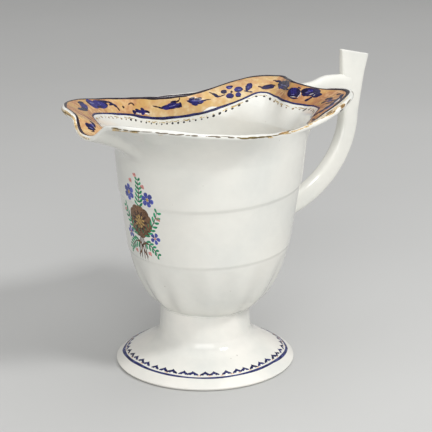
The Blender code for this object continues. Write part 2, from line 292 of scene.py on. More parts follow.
bowl = {
    "columns": 480,
    "base": (20.8, 27.2), "belly": (32.6, 33.2), "lowerStep": (37.4, 56.2),
    "upperStep": (41.7, 84.6), "neck": (44.0, 103.5),
    "ledge": 0.8, "rise": 2.5,
    "flutes": 14, "fluteDepth": 1.2,
    # height, how far the turned ledges dip towards the beak
    "dip": ((46.0, 0.0), (56.2, 0.9), (84.6, 2.3), (103.5, 0.0)), "taper": 0.14,
    "setback": 1.8, "lean": 2.3, "wallLean": 0.03,
    # how strongly painted shade greys the glaze at the ledges and at the base of the bowl
    "ledgePoolShade": 0.04, "basePoolShade": 0.2,
    "wall": 2.8, "edge": 2.4, "floor": 4.4,
    # degrees from the beak, overhang, rise, early flare, height of the bend
    "brim": (
        (0.0, 21.5, 14.6, 0.14, 0.48), (5.0, 21.2, 15.7, 0.14, 0.48), (10.0, 20.3, 20.3, 0.14, 0.48),
        (14.5, 20.6, 21.4, 0.14, 0.48), (21.0, 20.6, 22.0, 0.14, 0.48), (45.0, 14.2, 19.5, 0.14, 0.48),
        (73.0, 7.0, 15.4, 0.14, 0.48), (100.0, 2.5, 12.9, 0.14, 0.55), (126.0, 5.9, 11.2, 0.05, 0.8),
        (144.0, 20.0, 15.7, 0.06, 0.84), (161.5, 30.2, 17.9, 0.14, 0.66), (170.0, 21.8, 16.9, 0.24, 0.54),
        (180.0, 14.6, 19.3, 0.3, 0.48),
    ),
    # degrees from the beak, how far the edge warped up in the kiln on one side
    "warp": (
        (14.0, 0.0), (20.0, 0.13), (26.0, 0.22), (32.0, 0.22), (38.0, 0.02), (44.0, -0.43), (50.0, -0.7),
        (60.0, -0.67), (70.0, -0.72), (80.0, -0.78), (90.0, -0.58), (98.0, -0.04), (104.0, 0.55),
        (110.0, 1.09), (115.0, 1.42), (120.0, 1.43), (125.0, 0.93), (130.0, -0.01), (135.0, -0.92),
        (140.0, -1.31), (145.0, -1.12), (150.0, -0.86), (155.0, -1.17), (160.0, -1.5), (165.0, -0.95),
        (168.0, 0.5), (171.0, 1.15), (174.0, 0.98), (177.0, 0.88), (181.0, 0.55), (185.0, 0.3),
        (190.0, 0.0),
    ),
}
bowlCorners = [bowl[name] for name in ("base", "belly", "lowerStep", "upperStep", "neck")]
brimStations = np.array(bowl["brim"])
stepBack = bowl["setback"] + bowl["lean"]
warpTurns = np.arange(0.0, 361.0, 0.5)
warpTable = np.pad(readTable(bowl["warp"], warpTurns), 4, mode="wrap")
warpTable = np.convolve(warpTable, np.ones(9) / 9, "valid")


def brimEdge(turn):
    # overhang, rise, flare and bend of the brim at a turn from the beak
    degrees = np.abs(np.degrees(wrapTurn(turn)))
    places = brimStations[:, 0]
    low = np.clip(np.searchsorted(places, degrees, side="right") - 1, 0, len(places) - 2)
    span = places[low + 1] - places[low]
    share = (degrees - places[low]) / span
    rest = 1.0 - share
    values = []
    for column in (1, 2, 3, 4):
        level = brimStations[:, column]
        slope = np.zeros(len(places))
        slope[1:-1] = (level[2:] - level[:-2]) / (places[2:] - places[:-2])
        values.append(
            level[low] * (1 + 2 * share) * rest ** 2 + slope[low] * span * share * rest ** 2
            + level[low + 1] * share ** 2 * (3 - 2 * share) - slope[low + 1] * span * share ** 2 * rest
        )
    values[1] = values[1] + 0.16 * np.sin(9 * turn + 0.6) + 0.1 * np.sin(17 * turn)  # trimmed by hand
    values[1] = values[1] + np.interp(np.degrees(turn) % 360, warpTurns, warpTable)
    return values


def brimPoint(turn, share, inset=0.0, ahead=0.0):
    # on the flare: inset goes through the wall, ahead runs on past the edge
    overhang, rise, flare, bend = brimEdge(turn)
    rest = 1.0 - share
    outBend, upBend = flare * overhang, bend * rise
    radius = bowl["neck"][0] + 2 * rest * share * outBend + share ** 2 * overhang
    height = bowl["neck"][1] + 2 * rest * share * upBend + share ** 2 * rise
    out = rest * outBend + share * (overhang - outBend) + stepBack * share * np.cos(turn)
    up = rest * upBend + share * (rise - upBend)
    length = np.hypot(out, up)
    out, up = out / length, up / length
    radius = radius - inset * up + ahead * out
    height = height + inset * out + ahead * up
    return around(turn, radius, height, stepBack * (1.0 - share ** 2))


def brimInside(turn, share, lift=0.0):
    return brimPoint(turn, share, bowl["wall"] + share * (bowl["edge"] - bowl["wall"]) + lift)


def bowlShift(height):
    share = (height - bowl["base"][1]) / (bowl["neck"][1] - bowl["base"][1])
    return bowl["setback"] + bowl["lean"] * share


def dipAt(turn, height):
    return readTable(bowl["dip"], height) * np.cos(turn)


bellyTable = bezier(*bowlCorners[:3], np.linspace(0.0, 1.0, 60))


def wallRadius(height):
    # outside of the bowl at a height: the belly, then the wall with its two soft ledges
    height = np.asarray(height, float)
    lower, upper, neck = bowlCorners[2:]
    ledge, rise = bowl["ledge"], bowl["rise"]
    bandOne = np.interp(height, (lower[1] + rise, upper[1]), (lower[0] + ledge, upper[0]))
    bandTwo = np.interp(height, (upper[1] + rise, neck[1]), (upper[0] + ledge, neck[0]))
    radius = np.where(height < upper[1] + rise / 2, bandOne, bandTwo)
    for step in (lower, upper):
        share = np.clip((height - step[1]) / rise, 0.0, 1.0)
        inStep = (height >= step[1]) & (height <= step[1] + rise)
        radius = np.where(inStep, step[0] + ledge * share ** 2 * (3 - 2 * share), radius)
    return np.where(height < lower[1], np.interp(height, bellyTable[:, 1], bellyTable[:, 0]), radius)


def wallRing(radius, height, fade=0.0):
    # a ring of the wall, dipped towards the beak and fluted as deep as fade says
    def place(turn):
        groove = fade * bowl["fluteDepth"] * (0.5 - 0.5 * np.cos(bowl["flutes"] * turn))
        level = np.full(np.shape(turn), height)
        for settle in range(4):
            level = height - dipAt(turn, level)
        return around(turn, radius - bowl["taper"] * (height - level) - groove, level, bowlShift(level))
    return place


def bowlRings():
    # every ring of the bowl from under its base, up the outside, over the lip and down inside
    base, belly, lower, upper, neck = bowlCorners
    wall, rise, half = bowl["wall"], bowl["rise"], bowl["edge"] / 2
    rings = [wallRing(base[0] - 0.8, base[1])]
    for share in np.linspace(0.0, 1.0, 30):
        radius, height = bezier(base, belly, lower, share)
        rings.append(wallRing(radius, height, 4.0 * share * (1.0 - share)))
    heights = []
    for low, high, count in ((lower[1], upper[1], 13), (upper[1], neck[1], 9)):
        heights += [low + rise * step / 6 for step in range(1, 7)]
        heights += list(np.linspace(low + rise, high, count)[1:])
    rings += [wallRing(float(wallRadius(height)), height) for height in heights[:-1]]
    rings += [lambda turn, share=share: brimPoint(turn, share) for share in np.linspace(0.0, 1.0, 28)]
    for swing in np.radians(np.linspace(0.0, 180.0, 11)[1:-1]):
        rings.append(lambda turn, swing=swing: brimPoint(
            turn, 1.0, half * (1.0 - math.cos(swing)), half * math.sin(swing)
        ))
    rings += [lambda turn, share=share: brimInside(turn, share) for share in np.linspace(1.0, 0.0, 40)]
    for share in np.linspace(0.94, 0.0, 14):
        radius = lower[0] + share * (neck[0] - lower[0]) - wall
        rings.append(wallRing(radius, lower[1] + share * (neck[1] - lower[1])))
    start, bend = (lower[0] - wall, lower[1]), (belly[0] - 2.2, belly[1] + 2.6)
    end = (base[0] - bowl["floor"], base[1] + bowl["floor"])
    for share in np.linspace(0.0, 1.0, 16)[1:]:
        rings.append(wallRing(*bezier(start, bend, end, share)))
    for radius in (12.0, 8.0, 4.0, 1.0):
        rings.append(wallRing(radius, end[1] - 0.35 * (1.0 - radius / end[0])))
    return rings


bowlPlaces = bowlRings()
bowlBody = ringTower("bowlBody", bowl["columns"], len(bowlPlaces))


def placeBowl(ring, turn):
    points = np.zeros((len(ring), 3))
    for index, place in enumerate(bowlPlaces):
        chosen = ring == index
        points[chosen] = place(turn[chosen])
    return points


setOut(bowlBody, placeBowl)
bowlPoints = vertexArray(bowlBody) / mm
bowlTurns = np.arctan2(bowlPoints[:, 1], jugX / mm - bowlPoints[:, 0])
bowlHeights = bowlPoints[:, 2] + dipAt(bowlTurns, bowlPoints[:, 2])
# painted shade: the glaze is greyed along the two ledges and round the base of the bowl, where shade falls
poolShading = np.zeros(len(bowlHeights))
for stepHeight in (bowl["lowerStep"][1], bowl["upperStep"][1]):
    poolShading += bowl["ledgePoolShade"] * np.exp(-((bowlHeights - stepHeight + 0.1) / 1.0) ** 2)
poolShading += bowl["basePoolShade"] * np.exp(-((bowlHeights - bowl["base"][1]) / 2.2) ** 2)
carry(bowlBody, "poolShade", poolShading)
glazeLook = {
    "roughness": 0.1, "cloud": 34.0, "ripple": 130.0, "specks": 260.0,
    "body": (0.755, 0.75, 0.70), "shade": (0.70, 0.705, 0.665), "warm": (0.785, 0.772, 0.715),
    # the grey below is a painted shade colour for the hollows
    "iron": (0.30, 0.26, 0.20), "poolShade": (0.50, 0.51, 0.48),
}
dress(bowlBody, porcelainGlaze("bowlGlaze", glazeLook))
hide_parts("bowl")
print("bowl:", len(bowlBody.data.polygons), "faces")


# places on the inside of the brim are given by turn and by depth from the lip

tableColumns, depthStep = 1440, 0.25
tableTurns = np.linspace(-math.pi, math.pi, tableColumns + 1)
tableShares = np.linspace(0.0, 1.0, 81)
tableDepths = np.arange(0.0, 34.01, depthStep)
sheet = brimInside(tableTurns[:, None], tableShares[None, :])
stepLengths = np.linalg.norm(np.diff(sheet, axis=1), axis=2)
fromLip = np.cumsum(stepLengths[:, ::-1], 1)[:, ::-1]
fromLip = np.concatenate([fromLip, np.zeros((tableColumns + 1, 1))], 1)
shareTable = np.stack([np.interp(tableDepths, row[::-1], tableShares[::-1]) for row in fromLip])


def onBrim(turn, depth, lift=0.0):
    turn, depth, lift = np.broadcast_arrays(turn, depth, lift)
    column = (wrapTurn(turn) + math.pi) / (2 * math.pi) * tableColumns
    left = np.clip(np.floor(column).astype(int), 0, tableColumns - 1)
    row = np.clip(depth / depthStep, 0.0, len(tableDepths) - 1.001)
    top = np.floor(row).astype(int)
    aside, below = column - left, row - top
    share = (
        shareTable[left, top] * (1 - aside) * (1 - below) + shareTable[left + 1, top] * aside * (1 - below)
        + shareTable[left, top + 1] * (1 - aside) * below + shareTable[left + 1, top + 1] * aside * below
    )
    # a depth past the flare runs on down the wall
    past = np.maximum(depth - np.interp(column, np.arange(tableColumns + 1), fromLip[:, 0]), 0.0)
    slope, lean = bowl["taper"], bowl["wallLean"]
    down = np.stack([past * (slope * np.cos(turn) - lean), -slope * past * np.sin(turn), -past], -1)
    inside = brimInside(turn, share, lift) + down
    half = bowl["edge"] / 2
    over = math.pi + np.minimum(depth, 0.0) / half  # a depth below nought runs up over the lip
    reach = half + lift
    lip = brimPoint(turn, np.ones(turn.shape), half - reach * np.cos(over), reach * np.sin(over))
    return np.where((depth < 0.0)[..., None], lip, inside)


band = {
    "outerWidth": 1.5, "innerWidth": 1.2, "groundRise": 0.075, "lineRelief": 0.12,
    "glareGap": (131.0, 5.0, 1.9),  # painted highlight: the ground is left off in a white strip where glare lies along the fold: degrees, spread, how much
    "heavy": ((-163.0, 7.0, 1.0), (140.0, 20.0, 0.5)),  # where the outer line swells, the same way
    # degrees from the beak, depth of the line below the lip; turns below nought are the other side
    "outer": (
        (-180.0, -0.5), (-170.0, -0.7), (-168.4, -0.2), (-167.0, 0.5), (-165.6, 1.4), (-163.2, 2.4),
        (-161.8, 2.2), (-158.6, 1.4), (-156.2, 1.6), (-152.5, 2.6), (-148.5, 3.1), (-144.0, 3.2),
        (-141.2, 3.7), (-138.0, 4.2), (-132.0, 3.6), (-124.0, 1.8), (-112.0, 0.9), (-60.0, 0.8),
        (-34.0, 0.8), (-24.0, 0.6), (-19.2, 0.6), (-17.5, 2.3), (-15.0, 2.7), (-11.0, 1.0), (-4.7, 0.4),
        (1.4, 0.3), (4.7, 0.4), (8.0, 0.5), (11.3, 1.0), (15.2, 2.8), (16.7, 2.5), (18.2, 2.1),
        (19.1, 0.9), (19.5, 0.3), (23.0, 0.2), (27.3, -0.1), (34.0, -0.6), (40.0, -0.6), (46.0, -0.5),
        (58.0, -0.5), (66.0, -0.4), (80.0, -0.3), (88.0, -0.3), (98.0, -0.3), (112.0, -0.1), (118.0, 0.2),
        (126.0, 0.5), (134.0, 0.7), (144.0, 0.7), (157.0, 0.6), (162.0, 0.6), (167.0, 0.0), (173.0, -0.4),
        (180.0, -0.4),
    ),
    "inner": (
        (-180.0, 9.4), (-177.0, 9.5), (-173.0, 10.1), (-170.0, 11.2), (-168.0, 13.0), (-165.1, 16.5),
        (-163.3, 18.3), (-161.4, 19.0), (-159.3, 18.6), (-156.5, 17.7), (-153.4, 16.0), (-149.1, 13.9),
        (-146.4, 13.4), (-142.0, 13.4), (-136.0, 13.0), (-130.0, 11.8), (-124.0, 10.8), (-112.0, 10.6),
        (-89.0, 10.8), (-73.0, 10.0), (-60.0, 10.4), (-44.0, 11.4), (-37.0, 11.8), (-31.0, 13.2),
        (-27.6, 15.2), (-23.7, 17.3), (-16.0, 17.5), (0.0, 17.4), (15.8, 17.2), (20.4, 17.8),
        (23.7, 17.3), (27.6, 15.2), (31.0, 13.2), (36.9, 11.8), (43.8, 11.4), (50.7, 11.1), (60.4, 10.4),
        (73.5, 10.0), (77.0, 10.0), (83.0, 10.6), (89.0, 10.8), (100.0, 10.6), (112.0, 10.6),
        (120.0, 10.4), (126.7, 10.9), (130.8, 12.1), (136.0, 14.5), (141.0, 17.1), (145.9, 18.9),
        (150.0, 19.8), (153.3, 19.2), (156.2, 17.5), (158.6, 16.5), (161.7, 16.5), (163.9, 15.9),
        (166.6, 13.8), (169.8, 11.5), (175.8, 10.0), (180.0, 9.4),
    ),
}


def softLine(stations, reach):
    # depth of a line round the whole brim, its corners eased
    depths = readTable(stations, np.degrees(tableTurns))
    looped = np.concatenate([depths[-reach - 1:-1], depths, depths[1:reach + 1]])
    return np.convolve(looped, np.ones(2 * reach + 1) / (2 * reach + 1), "valid")


innerTable = softLine(band["inner"], 4)
outerTable = softLine(band["outer"], 3)


def innerDepth(turn):
    wobble = 0.04 * np.sin(23 * turn + 1.0) + 0.03 * np.sin(41 * turn)
    return np.interp(wrapTurn(turn), tableTurns, innerTable) + wobble


def outerDepth(turn):
    wobble = 0.05 * np.sin(11 * turn) + 0.03 * np.sin(29 * turn + 2.0)
    return np.interp(wrapTurn(turn), tableTurns, outerTable) + wobble


# salmon ground between the two lines
def placeGround(turn, swing):
    place, spread, much = band["glareGap"]
    # painted highlight: the ground's inner edge is held back, leaving bare white glaze for the glare
    glareGap = much * np.exp(-((np.degrees(turn) - place) / spread) ** 2)
    low, high = outerDepth(turn), innerDepth(turn) - glareGap
    rise = band["groundRise"] * np.sign(np.sin(swing)) * np.abs(np.sin(swing)) ** 0.4
    return onBrim(turn, (low + high) / 2 + (high - low) / 2 * np.cos(swing), rise)


brimGround = ribbonLoop("brimGround", 480, 32, placeGround)
groundLook = {
    # degrees from the beak, how thin or thick the wash was laid
    "wash": (
        (-180.0, -0.1), (-160.0, -0.16), (-120.0, 0.0), (0.0, -0.08), (50.0, -0.12), (90.0, -0.02),
        (135.0, 0.06), (160.0, 0.03), (180.0, -0.1),
    ),
    "dark": (0.43, 0.205, 0.09), "mid": (0.57, 0.33, 0.16), "light": (0.62, 0.42, 0.205),
    "pale": (0.69, 0.55, 0.33), "ochre": (0.60, 0.39, 0.13),
}


def groundFinish(name, look):
    # iron-red and ochre dabbed on with a soft brush
    finish, tree, place = startFinish(name, 0.22, 0.25)
    dabs = cloudNoise(tree, place, 330.0, 4.0)
    mixed = mixColours(tree, 0.5, dabs, cloudNoise(tree, place, 62.0))
    laid = addNode(tree, "Attribute", {}, attribute_name="wash")["Fac"]
    thick = addNode(tree, "Math", {0: mixed, 1: laid}, operation="ADD")[0]
    colour = colourRamp(tree, thick, (
        (0.36, look["dark"]), (0.45, look["mid"]), (0.54, look["light"]), (0.65, look["pale"]),
    ))
    patches = rangeOf(tree, cloudNoise(tree, place, 190.0, 2.0), 0.5, 0.64, 0.0, 0.6)
    colour = mixColours(tree, patches, colour, look["ochre"])
    return endFinish(finish, colour, rangeOf(tree, dabs, 0.3, 0.7, 0.16, 0.34), dabs, 0.12, 0.0003)


groundPoints = vertexArray(brimGround)
groundTurns = np.degrees(np.arctan2(groundPoints[:, 1], jugX - groundPoints[:, 0]))
carry(brimGround, "wash", readTable(groundLook["wash"], groundTurns))
dress(brimGround, groundFinish("salmonGround", groundLook))
print("brim ground laid")


# the lines that edge the ground
def lineFinish(name, dark, light):
    finish, tree, place = startFinish(name, 0.2, 0.25)
    wash = cloudNoise(tree, place, 420.0)
    colour = colourRamp(tree, wash, ((0.35, dark), (0.65, light)))
    return endFinish(finish, colour, rangeOf(tree, wash, 0.3, 0.7, 0.14, 0.3), wash, 0.1, 0.0002)


def brimLine(name, depthOf, widthOf, finish):
    def place(turn, swing):
        depth = depthOf(turn)
        run = onBrim(turn + 0.004, depthOf(turn + 0.004)) - onBrim(turn - 0.004, depthOf(turn - 0.004))
        fall = onBrim(turn, np.maximum(depth, 0.0) + 0.2) - onBrim(turn, np.maximum(depth, 0.0))
        lengths = np.linalg.norm(run, axis=-1) * np.linalg.norm(fall, axis=-1)
        slant = np.linalg.norm(np.cross(run, fall), axis=-1) / lengths  # keeps a slanting line as wide
        half = widthOf(turn) / 2 / np.maximum(slant, 0.4)
        return onBrim(turn, depth + half * np.cos(swing), band["lineRelief"] * np.sin(swing))
    dress(ribbonLoop(name, 720, 8, place), finish, 60)


def outerWidth(turn):
    degrees = np.degrees(turn)
    heavy = sum(much * np.exp(-((degrees - place) / spread) ** 2) for place, spread, much in band["heavy"])
    uneven = 0.2 * np.sin(7 * turn + 1.0) + 0.12 * np.sin(31 * turn)
    return band["outerWidth"] * (1.0 + 0.5 * heavy + uneven)


def innerWidth(turn):
    heavy = np.exp(-((np.abs(np.degrees(turn)) - 100.0) / 30.0) ** 2)
    return band["innerWidth"] * (0.95 + 0.35 * heavy + 0.1 * np.sin(19 * turn))


umberLine = lineFinish("umberLine", (0.010, 0.007, 0.012), (0.035, 0.024, 0.038))
cobaltLine = lineFinish("cobaltLine", (0.012, 0.011, 0.045), (0.030, 0.034, 0.13))
brimLine("outerLine", outerDepth, outerWidth, umberLine)
brimLine("innerLine", innerDepth, innerWidth, cobaltLine)
print("brim lines drawn")


# flowers and leaves on the ground, each stroke from (turn, depth) to (turn, depth), width, tone
flowers = {
    "tones": (
        # tones 2 and 4, pale lavender and near-white, are painted highlights on the enamel
        (0.010, 0.008, 0.045), (0.020, 0.017, 0.130), (0.15, 0.155, 0.36), (0.06, 0.026, 0.025),
        (0.62, 0.57, 0.55), (0.018, 0.016, 0.105),
    ),
    "widths": (1.2, 1.15, 0.9, 1.25, 0.9, 1.0), "lifts": (0.0, 0.015, 0.035, 0.0, 0.035, -0.012),  # by tone
    "relief": 0.06, "base": 0.075,
    "side": (
        (79, 7.8, 88.5, 7.5, 1.6, 5), (99.7, 5.2, 112.7, 4.6, 2.6, 5), (118.7, 3.5, 127.5, 5.9, 2.8, 5),
        (39.9, 3.3, 39.3, 7.6, 6.7, 5), (134.5, 6.3, 137.1, 9.2, 1.3, 0), (40.5, 3, 39.3, 7.3, 6.3, 1),
        (39.7, 2.4, 44.6, 2.7, 1.7, 0), (29, 6.1, 36.7, 8.2, 2.2, 0), (35.2, 6.2, 38.2, 7.9, 2.4, 0),
        (41.7, 4.1, 40.9, 6.9, 1.7, 0), (49, 2.4, 54.2, 5.2, 5.4, 1), (53.6, 3.4, 62.4, 4, 4.8, 1),
        (57.9, 1.4, 65.5, 2.3, 1.4, 0), (49.9, 6.3, 60.4, 5.9, 1.6, 0), (49.5, 1.6, 48.6, 5.4, 2.2, 0),
        (62.5, 1.9, 61.7, 5.2, 1.8, 0), (49.7, 3.1, 53, 4.3, 1.8, 2), (57.2, 2.7, 57.1, 4.9, 1, 2),
        (65.4, 2.1, 67.3, 3.8, 1.3, 0), (67.1, 3.7, 68, 6.1, 1.3, 0), (67.9, 5.9, 67.4, 8.3, 1, 3),
        (63.7, 4.4, 67.9, 3.9, 0.8, 0), (72.1, 5.5, 73.6, 5.4, 1.2, 3), (77.6, 4.1, 79.7, 2.8, 0.6, 3),
        (79.5, 2.8, 81.5, 2.8, 0.6, 3), (81.2, 2.8, 81.3, 4.3, 0.7, 3), (77.6, 7.3, 78.7, 8.8, 1.6, 0),
        (80.3, 6.5, 82.8, 7.7, 1.4, 0), (81, 7.1, 83.2, 7.9, 0.8, 1), (84.3, 5.9, 86.3, 6.7, 1.1, 0),
        (84.3, 7, 84.1, 9.3, 1.8, 1), (86.9, 7, 89.2, 8.1, 0.9, 0), (79.4, 8.6, 82.3, 9.1, 0.8, 4),
        (85.7, 8.5, 88.8, 9.3, 0.8, 4), (93.8, 4.2, 97.2, 4.8, 0.6, 3), (96.9, 4.7, 100, 5.8, 0.7, 0),
        (100.2, 5.5, 106.9, 5.4, 1.6, 1), (104.1, 4.3, 110.2, 3.8, 1.8, 1),
        (107.1, 2.8, 111.1, 2.7, 0.9, 0), (110, 3.4, 113.3, 2.3, 0.7, 3), (112.9, 2.5, 114.7, 1, 0.5, 3),
        (108.8, 5.7, 112.8, 5.1, 1.4, 0), (112.9, 3.4, 112.5, 6, 1, 0), (100.7, 5.9, 108.2, 6.2, 0.6, 0),
        (103.9, 5.1, 109.7, 4.5, 0.4, 2), (119.7, 2.6, 123.5, 2.6, 1.1, 0),
        (123.1, 3.4, 127.4, 4, 1.1, 0), (117.8, 3.2, 121.1, 4.7, 0.7, 0),
        (120.1, 4.9, 123.5, 6.4, 1.4, 1), (123.6, 4.9, 126.3, 6.5, 0.8, 0),
        (119.2, 3.8, 125.4, 5.2, 1, 1), (120.7, 3.7, 124.6, 4.7, 0.6, 2), (126.7, 5, 129.8, 6.2, 0.7, 0),
        (129, 5.6, 132.4, 7.3, 0.5, 3), (132.4, 2.7, 134.2, 5.2, 0.7, 3),
        (133.9, 4.8, 136.7, 8.8, 1.4, 0), (136, 8.2, 138.5, 10.1, 0.7, 0),
    ),
    "far": (
        (145.4, 10.3, 149.2, 12.3, 3.7, 5), (141, 11.9, 145.2, 14.8, 2.6, 5),
        (158, 13.1, 163.2, 10.4, 3.1, 0), (138.4, 6.7, 141.2, 9.5, 2.5, 0),
        (151.5, 14.3, 152, 8.5, 2.9, 5), (138.2, 9.7, 140.6, 10.6, 0.6, 3),
        (138.7, 6.7, 141, 9.5, 2.6, 0), (141.3, 6.3, 143.7, 6.3, 3, 1), (142.4, 5, 143.9, 7.2, 1.7, 0),
        (141.8, 6.6, 143.3, 7, 1.1, 2), (143.3, 10.8, 144.4, 11.4, 1.5, 3),
        (145.3, 10.7, 148.9, 11.8, 3.8, 1), (145.6, 9, 149.4, 12.7, 1.3, 0),
        (145.6, 11.7, 148.7, 13.4, 0.9, 0), (141.3, 12.1, 145, 14.6, 2.9, 1),
        (141.5, 11.2, 145.1, 13.9, 0.9, 0), (141.5, 13.2, 144.5, 15.6, 0.6, 0),
        (146.5, 13.8, 149.2, 16.7, 2.5, 1), (146.7, 15.8, 149.3, 17.5, 0.8, 0),
        (146.4, 10.8, 148.3, 12.1, 0.8, 2), (151.8, 14.2, 151.7, 8.5, 2.6, 1),
        (150.4, 10.2, 151.9, 14.9, 0.8, 0), (151.8, 8.2, 153.4, 13, 0.9, 0),
        (150.4, 14.2, 152.9, 15.9, 0.8, 0), (152.6, 15.8, 154.7, 16.5, 0.8, 0),
        (151.8, 13.1, 151.7, 10.8, 0.5, 2), (156, 11.9, 158.5, 13.2, 1, 3),
        (158, 13.2, 163, 11.6, 2.9, 0), (158.5, 11.8, 162.3, 9.8, 1.3, 0),
        (161.7, 10.2, 163.9, 9.6, 0.9, 3), (159.4, 12.4, 162.1, 11.6, 1.1, 1),
    ),
    "back": (
        (166.5, 6.5, 170.7, 3.9, 3.6, 0), (169.9, 4.2, 177, 2.6, 3.6, 0),
        (-174.7, 3, -171.9, 2.1, 3.1, 0), (-172.3, 2.3, -169.1, 1.7, 3, 0),
        (-173.2, 4.8, -170, 4.7, 1.4, 0), (-170.4, 4.7, -166.9, 5.8, 2.3, 0),
        (160.6, 5.8, 162.2, 5.8, 0.9, 3), (162, 6.1, 165.3, 4.8, 1.7, 0),
        (164.6, 5.8, 167.5, 3.9, 2.8, 0), (166.8, 4.3, 171.1, 2.7, 3.4, 0),
        (170.2, 2.9, 176.1, 2, 2.8, 0), (166.8, 5.6, 170.8, 4, 0.9, 2), (169.9, 4.2, 175.3, 3.2, 0.8, 2),
        (166.4, 7.8, 169.5, 6, 1.7, 1), (168.8, 6.3, 172.3, 5.2, 1.4, 1),
        (170.9, 5.6, 175.6, 4.4, 1.1, 0), (174.5, 4.6, 178.7, 4, 0.8, 0),
        (171.6, 2.4, 175.6, 2.3, 0.8, 1), (174.7, 2.3, 177.9, 2.4, 0.9, 1),
        (164.6, 6.1, 167.1, 7.6, 1.4, 0), (-180.9, 5.8, -177, 4.5, 4.2, 0),
        (-177.7, 4.7, -175, 3.6, 4.1, 0), (-179.8, 5.2, -175.5, 3.4, 3.7, 1),
        (-178.3, 7.2, -174.7, 7, 0.7, 0), (-177, 1.2, -175.7, 1.7, 0.6, 0),
        (-178.3, 6.8, -175.9, 6.3, 0.4, 4), (-178.4, 5.6, -176.8, 5.2, 0.4, 2),
        (-175, 6.6, -174.7, 4.6, 0.4, 4), (-175.1, 3.5, -174, 5.9, 0.4, 4),
        (-174.9, 3.1, -172, 1.8, 2, 0), (-172.6, 2.1, -169.8, 0.9, 2.2, 0),
        (-174.2, 2.7, -170.2, 1.1, 1.4, 1), (-174, 4.7, -170.6, 3.7, 1.8, 0),
        (-173.4, 4.3, -171.4, 3.5, 0.9, 1), (-174.5, 1.3, -172, 0.4, 0.8, 0),
        (-171.2, 2.8, -167.8, 4.2, 1.9, 0), (-169, 6.3, -166.9, 5.4, 2.2, 0),
        (-173.7, 3.6, -171.7, 2.2, 0.4, 2), (-171.7, 4.9, -170, 2.8, 0.5, 4),
        (-169.3, 5.7, -169.6, 4.2, 0.5, 4), (-171, 8.7, -169.7, 7.3, 1.3, 0),
        (-169.9, 7.3, -169.5, 6, 1.1, 0), (-157.9, 15.3, -156.9, 12.4, 2.4, 3),
        (-159.8, 12.8, -158.7, 10.8, 2.4, 0), (-160.1, 11.6, -156.2, 9.8, 2.1, 0),
        (-156.5, 12.1, -153.4, 9, 2.4, 1), (-152.4, 8.9, -152.7, 6.9, 2.4, 3),
        (-153, 11.9, -150.2, 8.3, 2.2, 3), (-159.5, 6.8, -158, 4.8, 1.9, 3),
        (-157.1, 4.4, -153.7, 4.9, 1.7, 0), (-154.6, 4.7, -149.7, 5.9, 2.4, 0),
        (-150.2, 5.8, -145.6, 6.4, 2.4, 0), (-146.1, 6.4, -142.6, 7.6, 2.4, 0),
        (-142.9, 7.6, -141.6, 9.8, 2.4, 0), (-142.1, 10, -141.1, 12.1, 2.4, 3),
        (-152.2, 4.4, -146.6, 5, 0.8, 4), (-145.9, 4.9, -141.4, 6.1, 0.8, 2),
        (8.2, 4.6, 6.9, 9.1, 2.7, 0), (11.9, 8.9, 8.1, 9.7, 1.8, 0), (6.4, 4.9, 6.4, 8.6, 1.2, 0),
        (8.7, 6.9, 7.3, 9, 1.2, 1), (9.3, 7.7, 8.2, 9.2, 0.8, 2), (7.2, 6, 6.8, 8.3, 0.7, 2),
        (4.9, 6, 6.3, 8.8, 0.7, 3), (19.3, 8.8, 19.3, 12, 1.2, 3), (19.4, 10.9, 16.8, 13.2, 1.2, 3),
        (-9, 12, -6, 7, 2.4, 1), (-13, 10, -8, 13, 1.8, 0), (-4, 14.5, 1, 17.5, 2, 1),
    ),
}


def brimStroke(
    startTurn, startDepth, endTurn, endDepth, width, relief, bend=0.0, taper=0.0, least=0.1, base=0.0
):
    # one brush stroke laid on the brim; it keeps at least so deep below the lip
    turn, depth = math.radians((startTurn + endTurn) / 2), (startDepth + endDepth) / 2
    along = onBrim(np.array([turn - 0.01, turn + 0.01]), np.array([depth, depth]))
    below = onBrim(np.array([turn, turn]), np.array([depth - 0.2, depth + 0.2]))
    # mm for a radian of turn and for a mm of depth
    sheet = np.stack([(along[1] - along[0]) / 0.02, (below[1] - below[0]) / 0.4], 1)
    run = sheet @ np.array([math.radians(endTurn - startTurn), endDepth - startDepth])
    length = np.linalg.norm(run)
    across = np.cross(np.cross(sheet[:, 0], sheet[:, 1]), run)
    toSheet = np.linalg.pinv(sheet) @ np.stack([run / length, across / np.linalg.norm(across)], 1)
    reach = length * 0.56  # a drop's thin ends run on past the stroke
    x, y, lift = flatStroke(-reach, 0.0, reach, 0.0, width, bend, taper, relief)
    turns = turn + toSheet[0, 0] * x + toSheet[0, 1] * y
    return onBrim(turns, np.maximum(depth + toSheet[1, 0] * x + toSheet[1, 1] * y, least), lift + base)


flowerStrokes = list(flowers["far"]) + list(flowers["back"])
for side in (1, -1):
    for start, startDepth, end, endDepth, width, tone in flowers["side"]:
        flowerStrokes.append((side * start, startDepth, side * end, endDepth, width, tone))
laidFlowers = []
for start, startDepth, end, endDepth, width, tone in flowerStrokes:
    lifted = flowers["relief"] + flowers["lifts"][tone]
    colour = np.array(flowers["tones"][tone]) * hand.uniform(0.8, 1.25)
    taper = hand.uniform(-0.3, 0.3)
    bend = hand.uniform(-0.1, 0.1) * width
    width = width * flowers["widths"][tone]
    laid = brimStroke(start, startDepth, end, endDepth, width, lifted, bend, taper, 0.1, flowers["base"])
    laidFlowers.append((laid, colour, hand.uniform(-0.3, 0.3)))
paintPiece("brimFlowers", laidFlowers, enamelFinish("cobaltEnamel", 0.2, 0.35))
print("brim flowers:", len(laidFlowers), "strokes")


